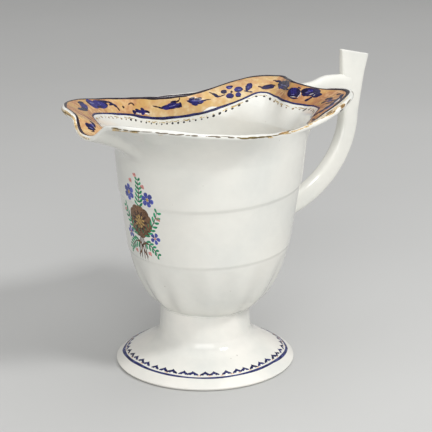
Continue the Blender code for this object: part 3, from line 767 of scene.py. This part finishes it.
# gilt scallops and dots inside the inner line
scallop = {
    "offset": 1.7, "swell": 0.6, "count": 88, "width": 0.6, "relief": 0.05,
    "dotDepth": 2.9, "dotSize": 1.1, "dotRelief": 0.09, "radius": 46.0,
    "black": (68.0, 166.0), "blackTone": (0.03, 0.028, 0.03), "brownTone": (0.26, 0.18, 0.10),
}


def scallopDepth(turn):
    waves = np.abs(np.cos(scallop["count"] / 2 * turn))
    return innerDepth(turn) + scallop["offset"] + scallop["swell"] * waves


def scallopWidth(turn):
    return scallop["width"] * (1.0 + 0.3 * np.sin(13 * turn))


def giltFinish(name, look):
    # thin gold rubbed down to the glaze
    finish, tree, place = startFinish(name, 0.3)
    rub, wear = cloudNoise(tree, place, look["grain"], 4.0), look["wear"]
    colour = colourRamp(tree, rub, (
        (wear - 0.12, look["gold"]), (wear - 0.03, look["worn"]), (wear + 0.03, look["bare"]),
        (wear + 0.2, look["bare"]),
    ))
    metal = rangeOf(tree, rub, wear - 0.1, wear, 0.75, 0.0)
    tree.links.new(metal, tree.nodes["Principled BSDF"].inputs["Metallic"])
    return endFinish(finish, colour, rangeOf(tree, rub, wear - 0.1, wear, 0.34, 0.14), rub, 0.1, 0.0002)


giltLook = {
    "gold": (0.52, 0.36, 0.14), "worn": (0.62, 0.50, 0.28), "bare": (0.755, 0.745, 0.68),
    "wear": 0.5, "grain": 520.0,
}
faintGilt = giltFinish("faintGilt", giltLook)


def placeScallop(turn, swing):
    across = scallopWidth(turn) / 2 * np.cos(swing)
    return onBrim(turn, scallopDepth(turn) + across, scallop["relief"] * np.sin(swing))


dress(ribbonLoop("giltScallop", 1464, 6, placeScallop), faintGilt, 60)
laidDots = []
for index in range(scallop["count"]):
    turn = math.degrees((index + 0.5) / scallop["count"] * 2 * math.pi)
    turn = turn - 360.0 if turn > 180.0 else turn
    depth = float(innerDepth(np.array(math.radians(turn)))) + scallop["dotDepth"]
    depth += hand.uniform(-0.12, 0.12)
    black = scallop["black"][0] < abs(turn) < scallop["black"][1]
    size = scallop["dotSize"] * hand.uniform(0.7, 1.15) * (1.0 if black else 0.8)
    reach = math.degrees(size / 2 / scallop["radius"])
    laid = brimStroke(turn - reach, depth, turn + reach, depth, size, scallop["dotRelief"])
    laidDots.append((laid, scallop["blackTone"] if black else scallop["brownTone"], 0.0))
paintPiece("scallopDots", laidDots, enamelFinish("blackEnamel", 0.25, 0.3))
print("scallops and dots:", len(laidDots))


# worn gilding over the lip, in broken strokes from (turn, depth) to (turn, depth), width, tone
gilt = {
    "tones": (
        (0.15, 0.11, 0.04), (0.56, 0.41, 0.21), (0.27, 0.165, 0.065), (0.17, 0.14, 0.10),
        (0.02, 0.015, 0.012), (0.60, 0.51, 0.37),
    ),
    "relief": 0.05, "least": -4.0, "outside": -1.9, "pastBeak": -14.0,
    "strokes": (
        (27, -1.8, 23.3, -2.4, 1.1, 5), (23.2, -2.4, 16.2, -1.9, 1.3, 5),
        (17.2, -1.6, 11.3, -1.6, 1.3, 1), (11.5, -1.7, 7.9, -0.8, 1.1, 1), (8.2, -1.1, 4.9, -1.1, 1.2, 1),
        (5.3, -0.9, 0.3, -1.6, 1.3, 5), (0.9, -1.6, -3.9, -2.2, 1, 5), (15.3, -1.8, 10.9, -1.9, 0.5, 2),
        (7.2, -1.1, 5.4, -1.1, 0.5, 2), (-125, -0.4, -131.7, 2.8, 1.1, 1),
        (-131.6, 3.3, -134.1, 2.1, 1.1, 5), (-133.7, 2, -137, 1.6, 1.2, 1),
        (-136.3, 1.4, -139.7, 1.3, 1.4, 2), (-139.3, 1.4, -142.8, 1.2, 1.3, 1),
        (-142.1, 1.2, -147.1, 1.1, 1.2, 5), (-146.7, 1.1, -152.3, 0.8, 1.2, 5),
        (-141.8, -0.7, -144.7, -0.9, 1, 2), (-140.5, -2.4, -142.9, -2.7, 0.9, 4),
        (-14.4, -2, -17.5, -2.2, 0.6, 0), (-17.1, -2.5, -19.1, -2.6, 0.5, 0),
        (-19.7, -2.6, -21.8, -2.7, 0.6, 0), (-22, -2.8, -26.1, -2.5, 0.6, 0),
        (-26.5, -2.5, -30.5, -2.3, 0.4, 3), (-14.7, -3, -18.5, -3.7, 1.7, 1),
        (-18.7, -3.7, -22, -3.7, 1.2, 1), (-22.2, -3.6, -25.3, -3.3, 1.1, 1),
        (-31.8, -2.4, -33.6, -2.6, 0.6, 3), (-33.4, -2.7, -36.4, -2.4, 0.6, 3),
        (-36.7, -2.7, -39.3, -2.7, 0.5, 3), (-39, -2.8, -42.4, -2.1, 0.6, 3),
        (-43, -2.4, -44.9, -2.2, 0.4, 3), (-45.3, -2.3, -47.9, -2.1, 0.7, 3),
        (-32.6, -3.7, -34.4, -3.7, 0.6, 1), (-51.2, -2.1, -56.8, -2, 0.5, 3),
        (-55.2, -2.2, -57.5, -2.3, 0.8, 3), (-57.7, -2, -62, -2, 0.3, 3),
        (-61, -2.3, -64.1, -2.4, 0.7, 3), (-65.4, -2.3, -68, -2.6, 0.5, 0),
        (-67, -2.7, -72.5, -2.9, 0.8, 0), (-71.4, -2.6, -77.4, -3, 1, 0),
        (-76.8, -2.9, -83, -2.9, 0.8, 0), (-82.3, -2.9, -87.9, -2.8, 0.7, 0),
        (-84.6, -3.3, -88.7, -3.4, 0.6, 1), (-88, -2.7, -94.7, -2.8, 0.5, 0),
        (-94.4, -2.6, -103.8, -2.5, 1.1, 2), (-102.3, -2.4, -108.6, -1.4, 0.8, 0),
        (-106.8, -1.7, -115.7, -1, 0.6, 0), (-114.5, -1.1, -122.2, -0.6, 0.6, 0),
        (-97.9, -3, -105.5, -3.3, 0.6, 1), (-105.9, -2.8, -112.5, -2.6, 0.8, 1),
        (-111.5, -2.6, -119.6, -2.2, 0.6, 1), (-121.2, -0.7, -124.4, -0.4, 0.7, 2),
        (-119.9, -2, -123.7, -1.9, 0.9, 1), (-123.9, -1.2, -127, -1.1, 1, 1),
        (-127.9, -0.6, -132, -0.1, 0.7, 1), (-131.8, -0.2, -134.6, -0.3, 0.8, 1),
        (-134.7, -0, -138.7, -0.6, 1.3, 2), (-134.2, -0.6, -137.6, -1.2, 0.6, 1),
        (-137.8, -0, -140.8, -0, 0.8, 1), (-141.4, -1.4, -144.6, -1.3, 1.2, 2),
        (-142.7, -0.1, -144.9, -0.8, 0.6, 1), (-145.6, -1.8, -149.9, -1.4, 0.7, 3),
        (-157.5, -0.5, -155, -1.6, 0.6, 3), (-141, -0, -143, -0, 0.6, 1),
    ),
}
laidGilt = []
for side in (1, -1):
    for start, startDepth, end, endDepth, width, tone in gilt["strokes"]:
        inside = max(startDepth, endDepth) > gilt["outside"]
        if side < 0 and (inside or start > gilt["pastBeak"]):
            continue  # on the other side only the outside of the lip kept its gold
        laid = brimStroke(
            side * start, startDepth, side * end, endDepth, width, gilt["relief"], least=gilt["least"]
        )
        colour = np.array(gilt["tones"][tone]) * hand.uniform(0.85, 1.15)
        laidGilt.append((laid, colour, hand.uniform(-0.25, 0.25)))
paintPiece("lipGilding", laidGilt, enamelFinish("wornGilt", 0.32, 0.4))
print("lip gilded")


# foot
foot = {
    "columns": 160,
    "radius": 42.2, "edge": 1.3, "rest": 40.4, "ring": 3.4, "wall": 4.2,
    "shoulder": (27.0, 9.6), "crown": (37.6, 4.4), "fillet": (22.5, 12.2),
    "front": -50.0, "slide": 1.8, "squash": 0.06, "round": 24.0, "spread": 14.0,
    "stem": 21.75, "stemLow": 15.4, "stemTop": 25.8, "seat": 29.2, "floor": 5.6,
    "poolShade": (12.6, 1.6, 0.12),  # height, spread and how much painted shade greys the glaze in the cove, where glaze also gathers
}
footEdge = (foot["radius"], foot["edge"])


def aroundFoot(turn, radius, height):
    # the foot settled a little out of round, towards one side
    points = around(turn, radius, height)
    frontX, frontY = -math.cos(math.radians(foot["front"])), math.sin(math.radians(foot["front"]))
    away = np.hypot(points[..., 0], points[..., 1]) - foot["round"]  # round as far as this
    spread = np.clip(away / foot["spread"], 0.0, 1.0)
    toFront = points[..., 0] * frontX + points[..., 1] * frontY
    slide = spread ** 2 * (3.0 - 2.0 * spread) * (foot["slide"] - foot["squash"] * toFront)
    return points + np.stack([slide * frontX, slide * frontY, slide * 0.0], -1)


domeTable = bezier(foot["shoulder"], foot["crown"], footEdge, np.linspace(0.0, 1.0, 60))
stem, seat, rest = foot["stem"], foot["seat"], foot["rest"]
footProfile = [(3.0, seat), (stem - 1.6, seat), (stem - 0.65, seat - 0.2)]
footProfile += [
    (stem - 0.6 + 0.6 * share ** 2, seat - 0.2 - share * (seat - 0.2 - foot["stemLow"]))
    for share in (0.15, 0.3, 0.45, 0.6, 0.75, 0.9)
]
footProfile += list(bezier(
    (stem, foot["stemLow"]), foot["fillet"], foot["shoulder"], np.linspace(0.0, 1.0, 12)
))
footProfile += list(bezier(foot["shoulder"], foot["crown"], footEdge, np.linspace(0.0, 1.0, 24)[1:]))
for swing in np.radians(np.linspace(20.0, 90.0, 6)):  # the rounded edge
    out = (foot["radius"] - rest) * math.cos(swing)
    footProfile.append((rest + out, foot["edge"] * (1.0 - math.sin(swing))))
restIn = rest - foot["ring"]
footProfile += [(restIn + 0.6, 0.0), (restIn, 0.25)]
hollowEnd = (stem - foot["wall"], foot["shoulder"][1] + foot["wall"] * 0.5)
hollowBend = (foot["crown"][0] - foot["wall"], foot["crown"][1] - foot["wall"])
footProfile += list(bezier((restIn - 0.5, 0.9), hollowBend, hollowEnd, np.linspace(0.0, 1.0, 10)))
ceiling, under = foot["stemTop"] - foot["floor"], hollowEnd[0]
footProfile += [
    (under - 0.5, ceiling - 2.0), (under - 1.6, ceiling - 0.5), (under - 4.0, ceiling), (3.0, ceiling)
]
footProfile = np.array(footProfile)
pedestalFoot = ringTower("pedestalFoot", foot["columns"], len(footProfile))
setOut(pedestalFoot, lambda ring, turn: aroundFoot(turn, footProfile[ring, 0], footProfile[ring, 1]))
footHeights = vertexArray(pedestalFoot)[:, 2] / mm
# painted shade in the cove where the stem flares into the dome
poolShadeHeight, poolShadeSpread, poolShadeMuch = foot["poolShade"]
carry(pedestalFoot, "poolShade", poolShadeMuch * np.exp(-((footHeights - poolShadeHeight) / poolShadeSpread) ** 2))
# painted light: the foot's glaze is a brighter copy of the bowl's, standing in for the light its upturned
# top catches
litFootLook = dict(glazeLook, body=(0.80, 0.785, 0.73), warm=(0.82, 0.79, 0.735))
dress(pedestalFoot, porcelainGlaze("litFootGlaze", litFootLook))
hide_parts("pedestal_foot")

# the luted joint between stem and bowl, smoothed to a small cove
bead = {"wide": 0.55, "high": 0.5, "lower": 0.15, "inset": 0.55, "tuck": 0.55}


def placeBead(turn, swing):
    middle = stem - bead["inset"]
    meet = readTable(bellyTable, middle + bowl["setback"] * np.cos(turn))
    radius = middle + bead["wide"] * (np.cos(swing) - bead["tuck"])
    return around(turn, radius, meet - bead["lower"] + bead["high"] * np.sin(swing))


stemBead = ribbonLoop("stemBead", 160, 12, placeBead)
dress(stemBead, porcelainGlaze("beadGlaze", glazeLook))
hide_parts("foot_slip")
print("foot:", len(pedestalFoot.data.polygons), "faces")


# blue ring, tufts and salmon dashes on the foot
footPaint = {
    # degrees from the front, radius of the ring, which is drawn in at the front
    "ring": ((0.0, 36.8), (58.0, 36.8), (75.0, 37.7), (92.0, 39.0), (180.0, 39.2)),
    "ringWidth": 1.1, "ringRelief": 0.07, "tufts": 44, "tuftGap": 2.0, "tuftRelief": 0.075,
    "blue": (0.012, 0.014, 0.07), "salmon": (0.62, 0.36, 0.20),
}


def onFoot(turn, radius, lift):
    height = readTable(domeTable, radius)
    slope = (readTable(domeTable, radius + 0.2) - height) / 0.2
    length = np.hypot(1.0, slope)
    return aroundFoot(turn, radius - lift * slope / length, height + lift / length)


def ringRadius(turn):
    away = turn - math.radians(foot["front"])
    return readTable(footPaint["ring"], np.degrees(np.abs(wrapTurn(away))))


def placeFootRing(turn, swing):
    middle = ringRadius(turn) + 0.1 * np.sin(5 * turn)
    drawnIn = footPaint["ring"][0][1]
    thick = 0.85 + 0.19 * (middle - drawnIn) + 0.15 * np.sin(3 * turn + 0.9) + 0.12 * np.sin(11 * turn)
    across = footPaint["ringWidth"] * thick / 2 * np.cos(swing)
    return onFoot(turn, middle + across, footPaint["ringRelief"] * np.sin(swing))


footLine = lineFinish("footLine", (0.012, 0.014, 0.07), (0.05, 0.06, 0.19))
dress(ribbonLoop("footRing", 480, 8, placeFootRing), footLine, 60)
laidTufts = []


def footStroke(turn, startX, startY, endX, endY, width, bend=0.0):
    x, y, lift = flatStroke(startX, startY, endX, endY, width, bend, 0.25, footPaint["tuftRelief"])
    radius = ringRadius(turn) - footPaint["tuftGap"]
    return onFoot(turn + x / radius, radius + y * 0.92, lift)


for index in range(footPaint["tufts"]):
    turn = (index + hand.uniform(-0.12, 0.12)) / footPaint["tufts"] * 2 * math.pi
    grow = hand.uniform(0.95, 1.25)
    pale = hand.uniform(0.7, 1.8)
    for lean in (-1.0, -0.5, 0.0, 0.5, 1.0):
        drift = hand.uniform(-0.12, 0.12)
        topX, topY = lean * 0.7 + drift, -1.5 + 0.85 * abs(lean)
        endX = lean * 2.15 * grow + drift
        endY = 0.75 + 0.25 * (1.0 - abs(lean)) - (0.7 if lean == 0.0 else 0.0)
        shade = np.array(footPaint["blue"]) * pale * hand.uniform(0.7, 1.4)
        laidTufts.append((footStroke(turn, topX, topY, endX, endY, 0.8 * grow, 0.14 * lean), shade, 0.3))
    if hand.random() < 0.6:
        side = hand.uniform(-0.5, 0.5)
        dash = np.array(footPaint["salmon"]) * hand.uniform(0.9, 1.2)
        between = turn + math.pi / footPaint["tufts"]
        laidTufts.append((footStroke(between, side - 0.9, 1.05, side + 0.9, 1.15, 0.4), dash, 0.2))
paintPiece("footTufts", laidTufts, enamelFinish("footEnamel", 0.22, 0.3))
print("foot paint:", len(laidTufts), "strokes")


# strap handle
strap = {
    "sides": 40, "low": 62.8, "bend": 104.0, "top": 134.5, "slope": 0.26, "post": 94.5, "lean": 3.6,
    "depth": 10.4, "topDepth": 17.8, "thick": 7.0, "topThick": 4.4, "round": 0.7, "rootFlare": 1.8,
    "deeper": 2.2, "frontThin": 0.42, "flatEnd": 9.0,
}
strapRoot = float(wallRadius(strap["low"]) + bowlShift(strap["low"]))


def superRound(turn, power):
    side, front = np.cos(turn), np.sin(turn)
    return np.sign(side) * np.abs(side) ** power, np.sign(front) * np.abs(front) ** power


def strapStations():
    # centre x and z, depth and thickness, from inside the bowl's wall to the thumb end
    low, bend, top, post = (strap[name] for name in ("low", "bend", "top", "post"))
    depth, thick = strap["depth"], strap["thick"]
    stations = [(strapRoot - 3.0 + step * 0.75, low) for step in range(4)]
    for step in range(45):
        turn = 0.5 * math.pi * step / 44
        x = strapRoot + (post - strapRoot) * math.sin(turn)
        stations.append((x, low + (bend - low) * (1.0 - math.cos(turn))))
    sizes = []
    for x, z in stations:
        flare = strap["rootFlare"] * math.exp(-max(x - strapRoot, 0.0) / 2.6)
        sizes.append((x, z, depth + 2 * flare, thick + 1.6 * flare))
    for step in range(1, 25):
        height = bend + (top - strap["round"] - bend) * (step / 24)
        rise = (height - bend) / (top - bend)
        deeper = strap["deeper"] * math.exp(-((rise - 0.72) / 0.3) ** 2)  # fills out above the arm
        sizes.append((
            post + strap["lean"] * math.sin(0.5 * math.pi * rise) - deeper / 2, height,
            depth + (strap["topDepth"] - depth) * rise ** 2.5 + deeper,
            thick + (strap["topThick"] - thick) * rise,
        ))
    return np.array(sizes)


strapSizes = strapStations()
roundSteps = np.radians(np.linspace(0.0, 90.0, 5)[1:])
handleStrap = ringTower("handleStrap", strap["sides"], len(strapSizes) + len(roundSteps))


def placeStrap(ring, turn):
    last = len(strapSizes) - 1
    level = np.minimum(ring, last)
    before = strapSizes[np.maximum(level - 1, 0)]
    after = strapSizes[np.minimum(level + 1, last)]
    runX, runZ = after[:, 0] - before[:, 0], after[:, 1] - before[:, 1]
    length = np.hypot(runX, runZ)
    middle, height, depth, thick = strapSizes[level].T
    crisp = np.clip((height - strap["bend"]) / (strap["top"] - strap["bend"]), 0.0, 1.0)
    side, front = superRound(turn, 0.6 - 0.3 * crisp)  # edges sharpen towards the thumb end
    over = np.zeros(len(ring))
    past = ring > last
    over[past] = roundSteps[ring[past] - last - 1]
    shrink = strap["round"] * (1.0 - np.cos(over))
    across = side * (depth / 2 - shrink)
    aside = front * (thick / 2 - shrink)
    aside = aside * (1.0 - strap["frontThin"] * crisp * np.clip(side, 0.0, 1.0) ** 3)  # thin front edge
    x = middle - across * runZ / length
    z = height + across * runX / length
    high = np.clip((height - strap["top"] + strap["flatEnd"]) / strap["flatEnd"], 0.0, 1.0)
    flat = height - strap["slope"] * (x - middle)
    z = z * (1.0 - high) + flat * high + strap["round"] * np.sin(over)
    return np.stack([x, aside, z], -1)


setOut(handleStrap, placeStrap)
handleLook = dict(glazeLook, body=(0.765, 0.76, 0.705), specks=210.0)
handleLook.pop("poolShade")
handleGlaze = porcelainGlaze("handleGlaze", handleLook)
dress(handleStrap, handleGlaze)
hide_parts("handle_strap", "strap_slip")


# arm between brim and strap
arm = {
    "sides": 32, "rings": 48, "start": 56.0, "end": 93.5, "width": 5.6,
    # x, height on top, height below
    "line": (
        (52.0, 122.6, 112.5), (60.0, 123.4, 113.6), (66.0, 123.3, 114.6), (70.0, 123.4, 115.0),
        (73.0, 124.0, 115.0), (76.0, 124.7, 114.9), (79.0, 125.0, 114.6), (83.5, 124.7, 113.6),
        (87.0, 124.3, 112.0), (89.0, 124.2, 110.6), (91.0, 124.3, 108.4), (94.0, 125.0, 106.0),
    ),
}
handleArm = ringTower("handleArm", arm["sides"], arm["rings"])
armLine = np.array(arm["line"])
brimBack = brimPoint(np.full(40, math.pi), np.linspace(0.0, 1.0, 40))  # outside of the brim behind


def placeArm(ring, turn):
    share = ring / (arm["rings"] - 1)
    side, front = superRound(turn, 0.72)
    x = arm["start"] + (arm["end"] - arm["start"]) * share
    for settle in range(3):  # the first rings lie along the slope of the brim
        top = np.interp(x, armLine[:, 0], armLine[:, 1])
        under = np.interp(x, armLine[:, 0], armLine[:, 2])
        z = (top + under) / 2 + side * (top - under) / 2
        start = np.interp(z, brimBack[:, 2], brimBack[:, 0]) - 1.0
        x = start + (arm["end"] - start) * share
    width = arm["width"] + 2.6 * np.exp(-(x - start) / 3.0) + 0.9 * np.exp(-(arm["end"] - x) / 2.5)
    return np.stack([x, front * width / 2, z], -1)


setOut(handleArm, placeArm)
dress(handleArm, handleGlaze)
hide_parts("handle_arm", "brim_arm_slip", "strap_arm_slip")
print("handle: strap", len(handleStrap.data.polygons), "arm", len(handleArm.data.polygons), "faces")


# posy on the front of the bowl
posy = {
    "height": 75.5, "relief": 0.085, "radius": 40.5,
    # start x and y, end x and y, bend, leaves, size
    "ferns": (
        (0.0, -7.0, -11.0, 7.0, 2.0, 7, 3.6), (0.0, -7.0, 11.5, 5.5, -2.0, 7, 3.8),
        (-0.5, 6.0, -1.2, 20.5, 0.6, 7, 3.2), (-1.0, -9.0, -10.0, -14.5, -1.2, 5, 3.0),
        (1.0, -9.0, 10.5, -15.5, 1.2, 6, 3.4),
    ),
    # petals, heart, centre x and y, size, number of petals, turned by
    "blossoms": (
        ("sepia", "gold", 0.2, 0.2, 8.0, 11, 0.0), ("umber", "gold", 0.2, 0.2, 6.2, 11, 0.28),
        ("gold", "umber", 0.2, 0.2, 4.4, 9, 0.1), ("umber", "gold", 0.2, 0.2, 2.9, 7, 0.3),
        ("blue", "gold", -6.6, 12.0, 3.5, 6, 0.2), ("blue", "gold", 5.8, 13.0, 3.9, 6, 0.5),
        ("blue", "pink", 9.4, -7.0, 3.0, 5, 0.1), ("blue", "pink", -8.9, -6.2, 2.9, 5, 0.7),
    ),
    "stems": (-1.6, -0.5, 0.7, 1.7),
    "buds": (
        (-4.4, 17.4), (3.6, 18.8), (12.0, 2.6), (-11.6, 3.4), (-5.0, -14.6), (5.2, -15.2), (0.2, 22.0),
    ),
    "sepia": (0.16, 0.085, 0.045), "umber": (0.055, 0.03, 0.022), "green": (0.03, 0.27, 0.13),
    "blue": (0.07, 0.085, 0.33), "pink": (0.58, 0.24, 0.22), "gold": (0.45, 0.29, 0.10),
}


def onBowl(x, y, lift):
    height, turn = posy["height"] + y, x / posy["radius"]
    dip = dipAt(turn, height)
    return around(turn, wallRadius(height + dip) - bowl["taper"] * dip + lift, height, bowlShift(height))


laidPosy = []


def posyStroke(colour, startX, startY, endX, endY, width, bend=0.0, taper=0.0, lift=0.0):
    x, y, rise = flatStroke(startX, startY, endX, endY, width, bend, taper, posy["relief"])
    shade = np.array(posy[colour]) * hand.uniform(0.8, 1.25)
    laidPosy.append((onBowl(x, y, rise + lift), shade, hand.uniform(-0.3, 0.3)))


def posyBlossom(colour, heart, centreX, centreY, size, petals, turned):
    for index in range(petals):
        swing = turned + index / petals * 2 * math.pi
        awayX, awayY = math.cos(swing), math.sin(swing)
        posyStroke(colour, centreX + awayX * size * 0.18, centreY + awayY * size * 0.18,
                   centreX + awayX * size, centreY + awayY * size, size * 0.62, 0.0, 0.35)
    posyStroke(heart, centreX - size * 0.2, centreY, centreX + size * 0.2, centreY, size * 0.42, lift=0.05)


def posyFern(startX, startY, endX, endY, bend, leaves, size):
    length = math.hypot(endX - startX, endY - startY)
    runX, runY = (endX - startX) / length, (endY - startY) / length
    posyStroke("umber", startX, startY, endX, endY, 0.5, bend)
    for index in range(leaves):
        share = (index + 0.8) / leaves
        out = bend * (1.0 - (2.0 * share - 1.0) ** 2)
        midX = startX + runX * length * share - runY * out
        midY = startY + runY * length * share + runX * out
        for side in (1.0, -1.0):
            leafX = runX * 0.75 - side * runY * 0.8
            leafY = runY * 0.75 + side * runX * 0.8
            reach = size * (1.1 - 0.5 * share)
            tipX, tipY = midX + leafX * reach, midY + leafY * reach
            posyStroke("green", midX, midY, tipX, tipY, 1.15, side * 0.2, 0.2)


for fern in posy["ferns"]:
    posyFern(*fern)
for leanX in posy["stems"]:
    posyStroke("umber", leanX * 0.3, -6.0, leanX * 1.8, -19.0, 0.6, leanX * 0.3)
for blossom in posy["blossoms"]:
    posyBlossom(*blossom)
for budX, budY in posy["buds"]:
    posyStroke("pink", budX - 0.6, budY - 0.8, budX + 0.5, budY + 1.1, 1.5, 0.0, 0.3)
    posyStroke("pink", budX + 0.6, budY - 0.7, budX + 1.3, budY + 0.9, 0.8)
for side in (1.0, -1.0):  # the tie
    posyStroke("sepia", 0.0, -11.4, side * 4.2, -10.0, 1.2, side * 0.7, 0.3)
    posyStroke("sepia", side * 0.3, -11.6, side * 3.6, -16.6, 0.9, side * -0.6)
posyStroke("umber", -0.9, -11.4, 0.9, -11.4, 1.5)
paintPiece("bowlPosy", laidPosy, enamelFinish("posyEnamel", 0.24, 0.3))
print("posy:", len(laidPosy), "strokes")


# floor, light and camera
floor = {"size": 8.0, "pale": (0.56, 0.56, 0.55), "shade": (0.53, 0.53, 0.52)}
bpy.ops.object.select_all(action="DESELECT")
bpy.ops.mesh.primitive_plane_add(size=floor["size"], location=(0.0, 0.0, 0.0))
floorPlane = bpy.context.object
floorPlane.name = "floorPlane"
floorFinish, tree, place = startFinish("floorPaper", 0.6)
paper = colourRamp(tree, cloudNoise(tree, place, 3.0), ((0.3, floor["shade"]), (0.7, floor["pale"])))
tree.links.new(paper, tree.nodes["Principled BSDF"].inputs["Base Color"])
floorPlane.data.materials.append(floorFinish)

studio = {
    "world": 0.40, "aim": (0.0, 0.0, 0.07),
    # place, power, size
    "key": ((0.22, -0.8, 1.1), 8.0, 0.22),
    "fill": ((-0.8, -0.9, 0.65), 9.0, 1.0),
    "top": ((0.15, 0.05, 1.25), 4.0, 1.0),
}
world = bpy.data.worlds.new("studioWorld")
bpy.context.scene.world = world
world.use_nodes = True
backdrop = world.node_tree.nodes["Background"].inputs
backdrop["Color"].default_value = (1.0, 1.0, 1.0, 1.0)
backdrop["Strength"].default_value = studio["world"]


def addLamp(name, place, power, size):
    lamp = bpy.data.lights.new(name, "AREA")
    lamp.energy = power
    lamp.size = size
    holder = bpy.data.objects.new(name, lamp)
    bpy.context.scene.collection.objects.link(holder)
    holder.location = place
    holder.rotation_euler = (Vector(studio["aim"]) - Vector(place)).to_track_quat("-Z", "Y").to_euler()


for lampName in ("key", "fill", "top"):
    addLamp(lampName + "Lamp", *studio[lampName])

view = {"place": (-0.38567, -0.45963, 0.2683), "turn": (71.7086, 0.3599, -40.6549), "lens": 113.325}
cameraData = bpy.data.cameras.new("photoCamera")
camera = bpy.data.objects.new("photoCamera", cameraData)
bpy.context.scene.collection.objects.link(camera)
camera.location = (jugX + view["place"][0], view["place"][1], view["place"][2])
camera.rotation_euler = [math.radians(angle) for angle in view["turn"]]
cameraData.lens = view["lens"]
cameraData.sensor_width = 36.0
cameraData.sensor_fit = "HORIZONTAL"
cameraData.dof.use_dof = False
bpy.context.scene.camera = camera
bpy.context.scene.view_settings.view_transform = "Standard"
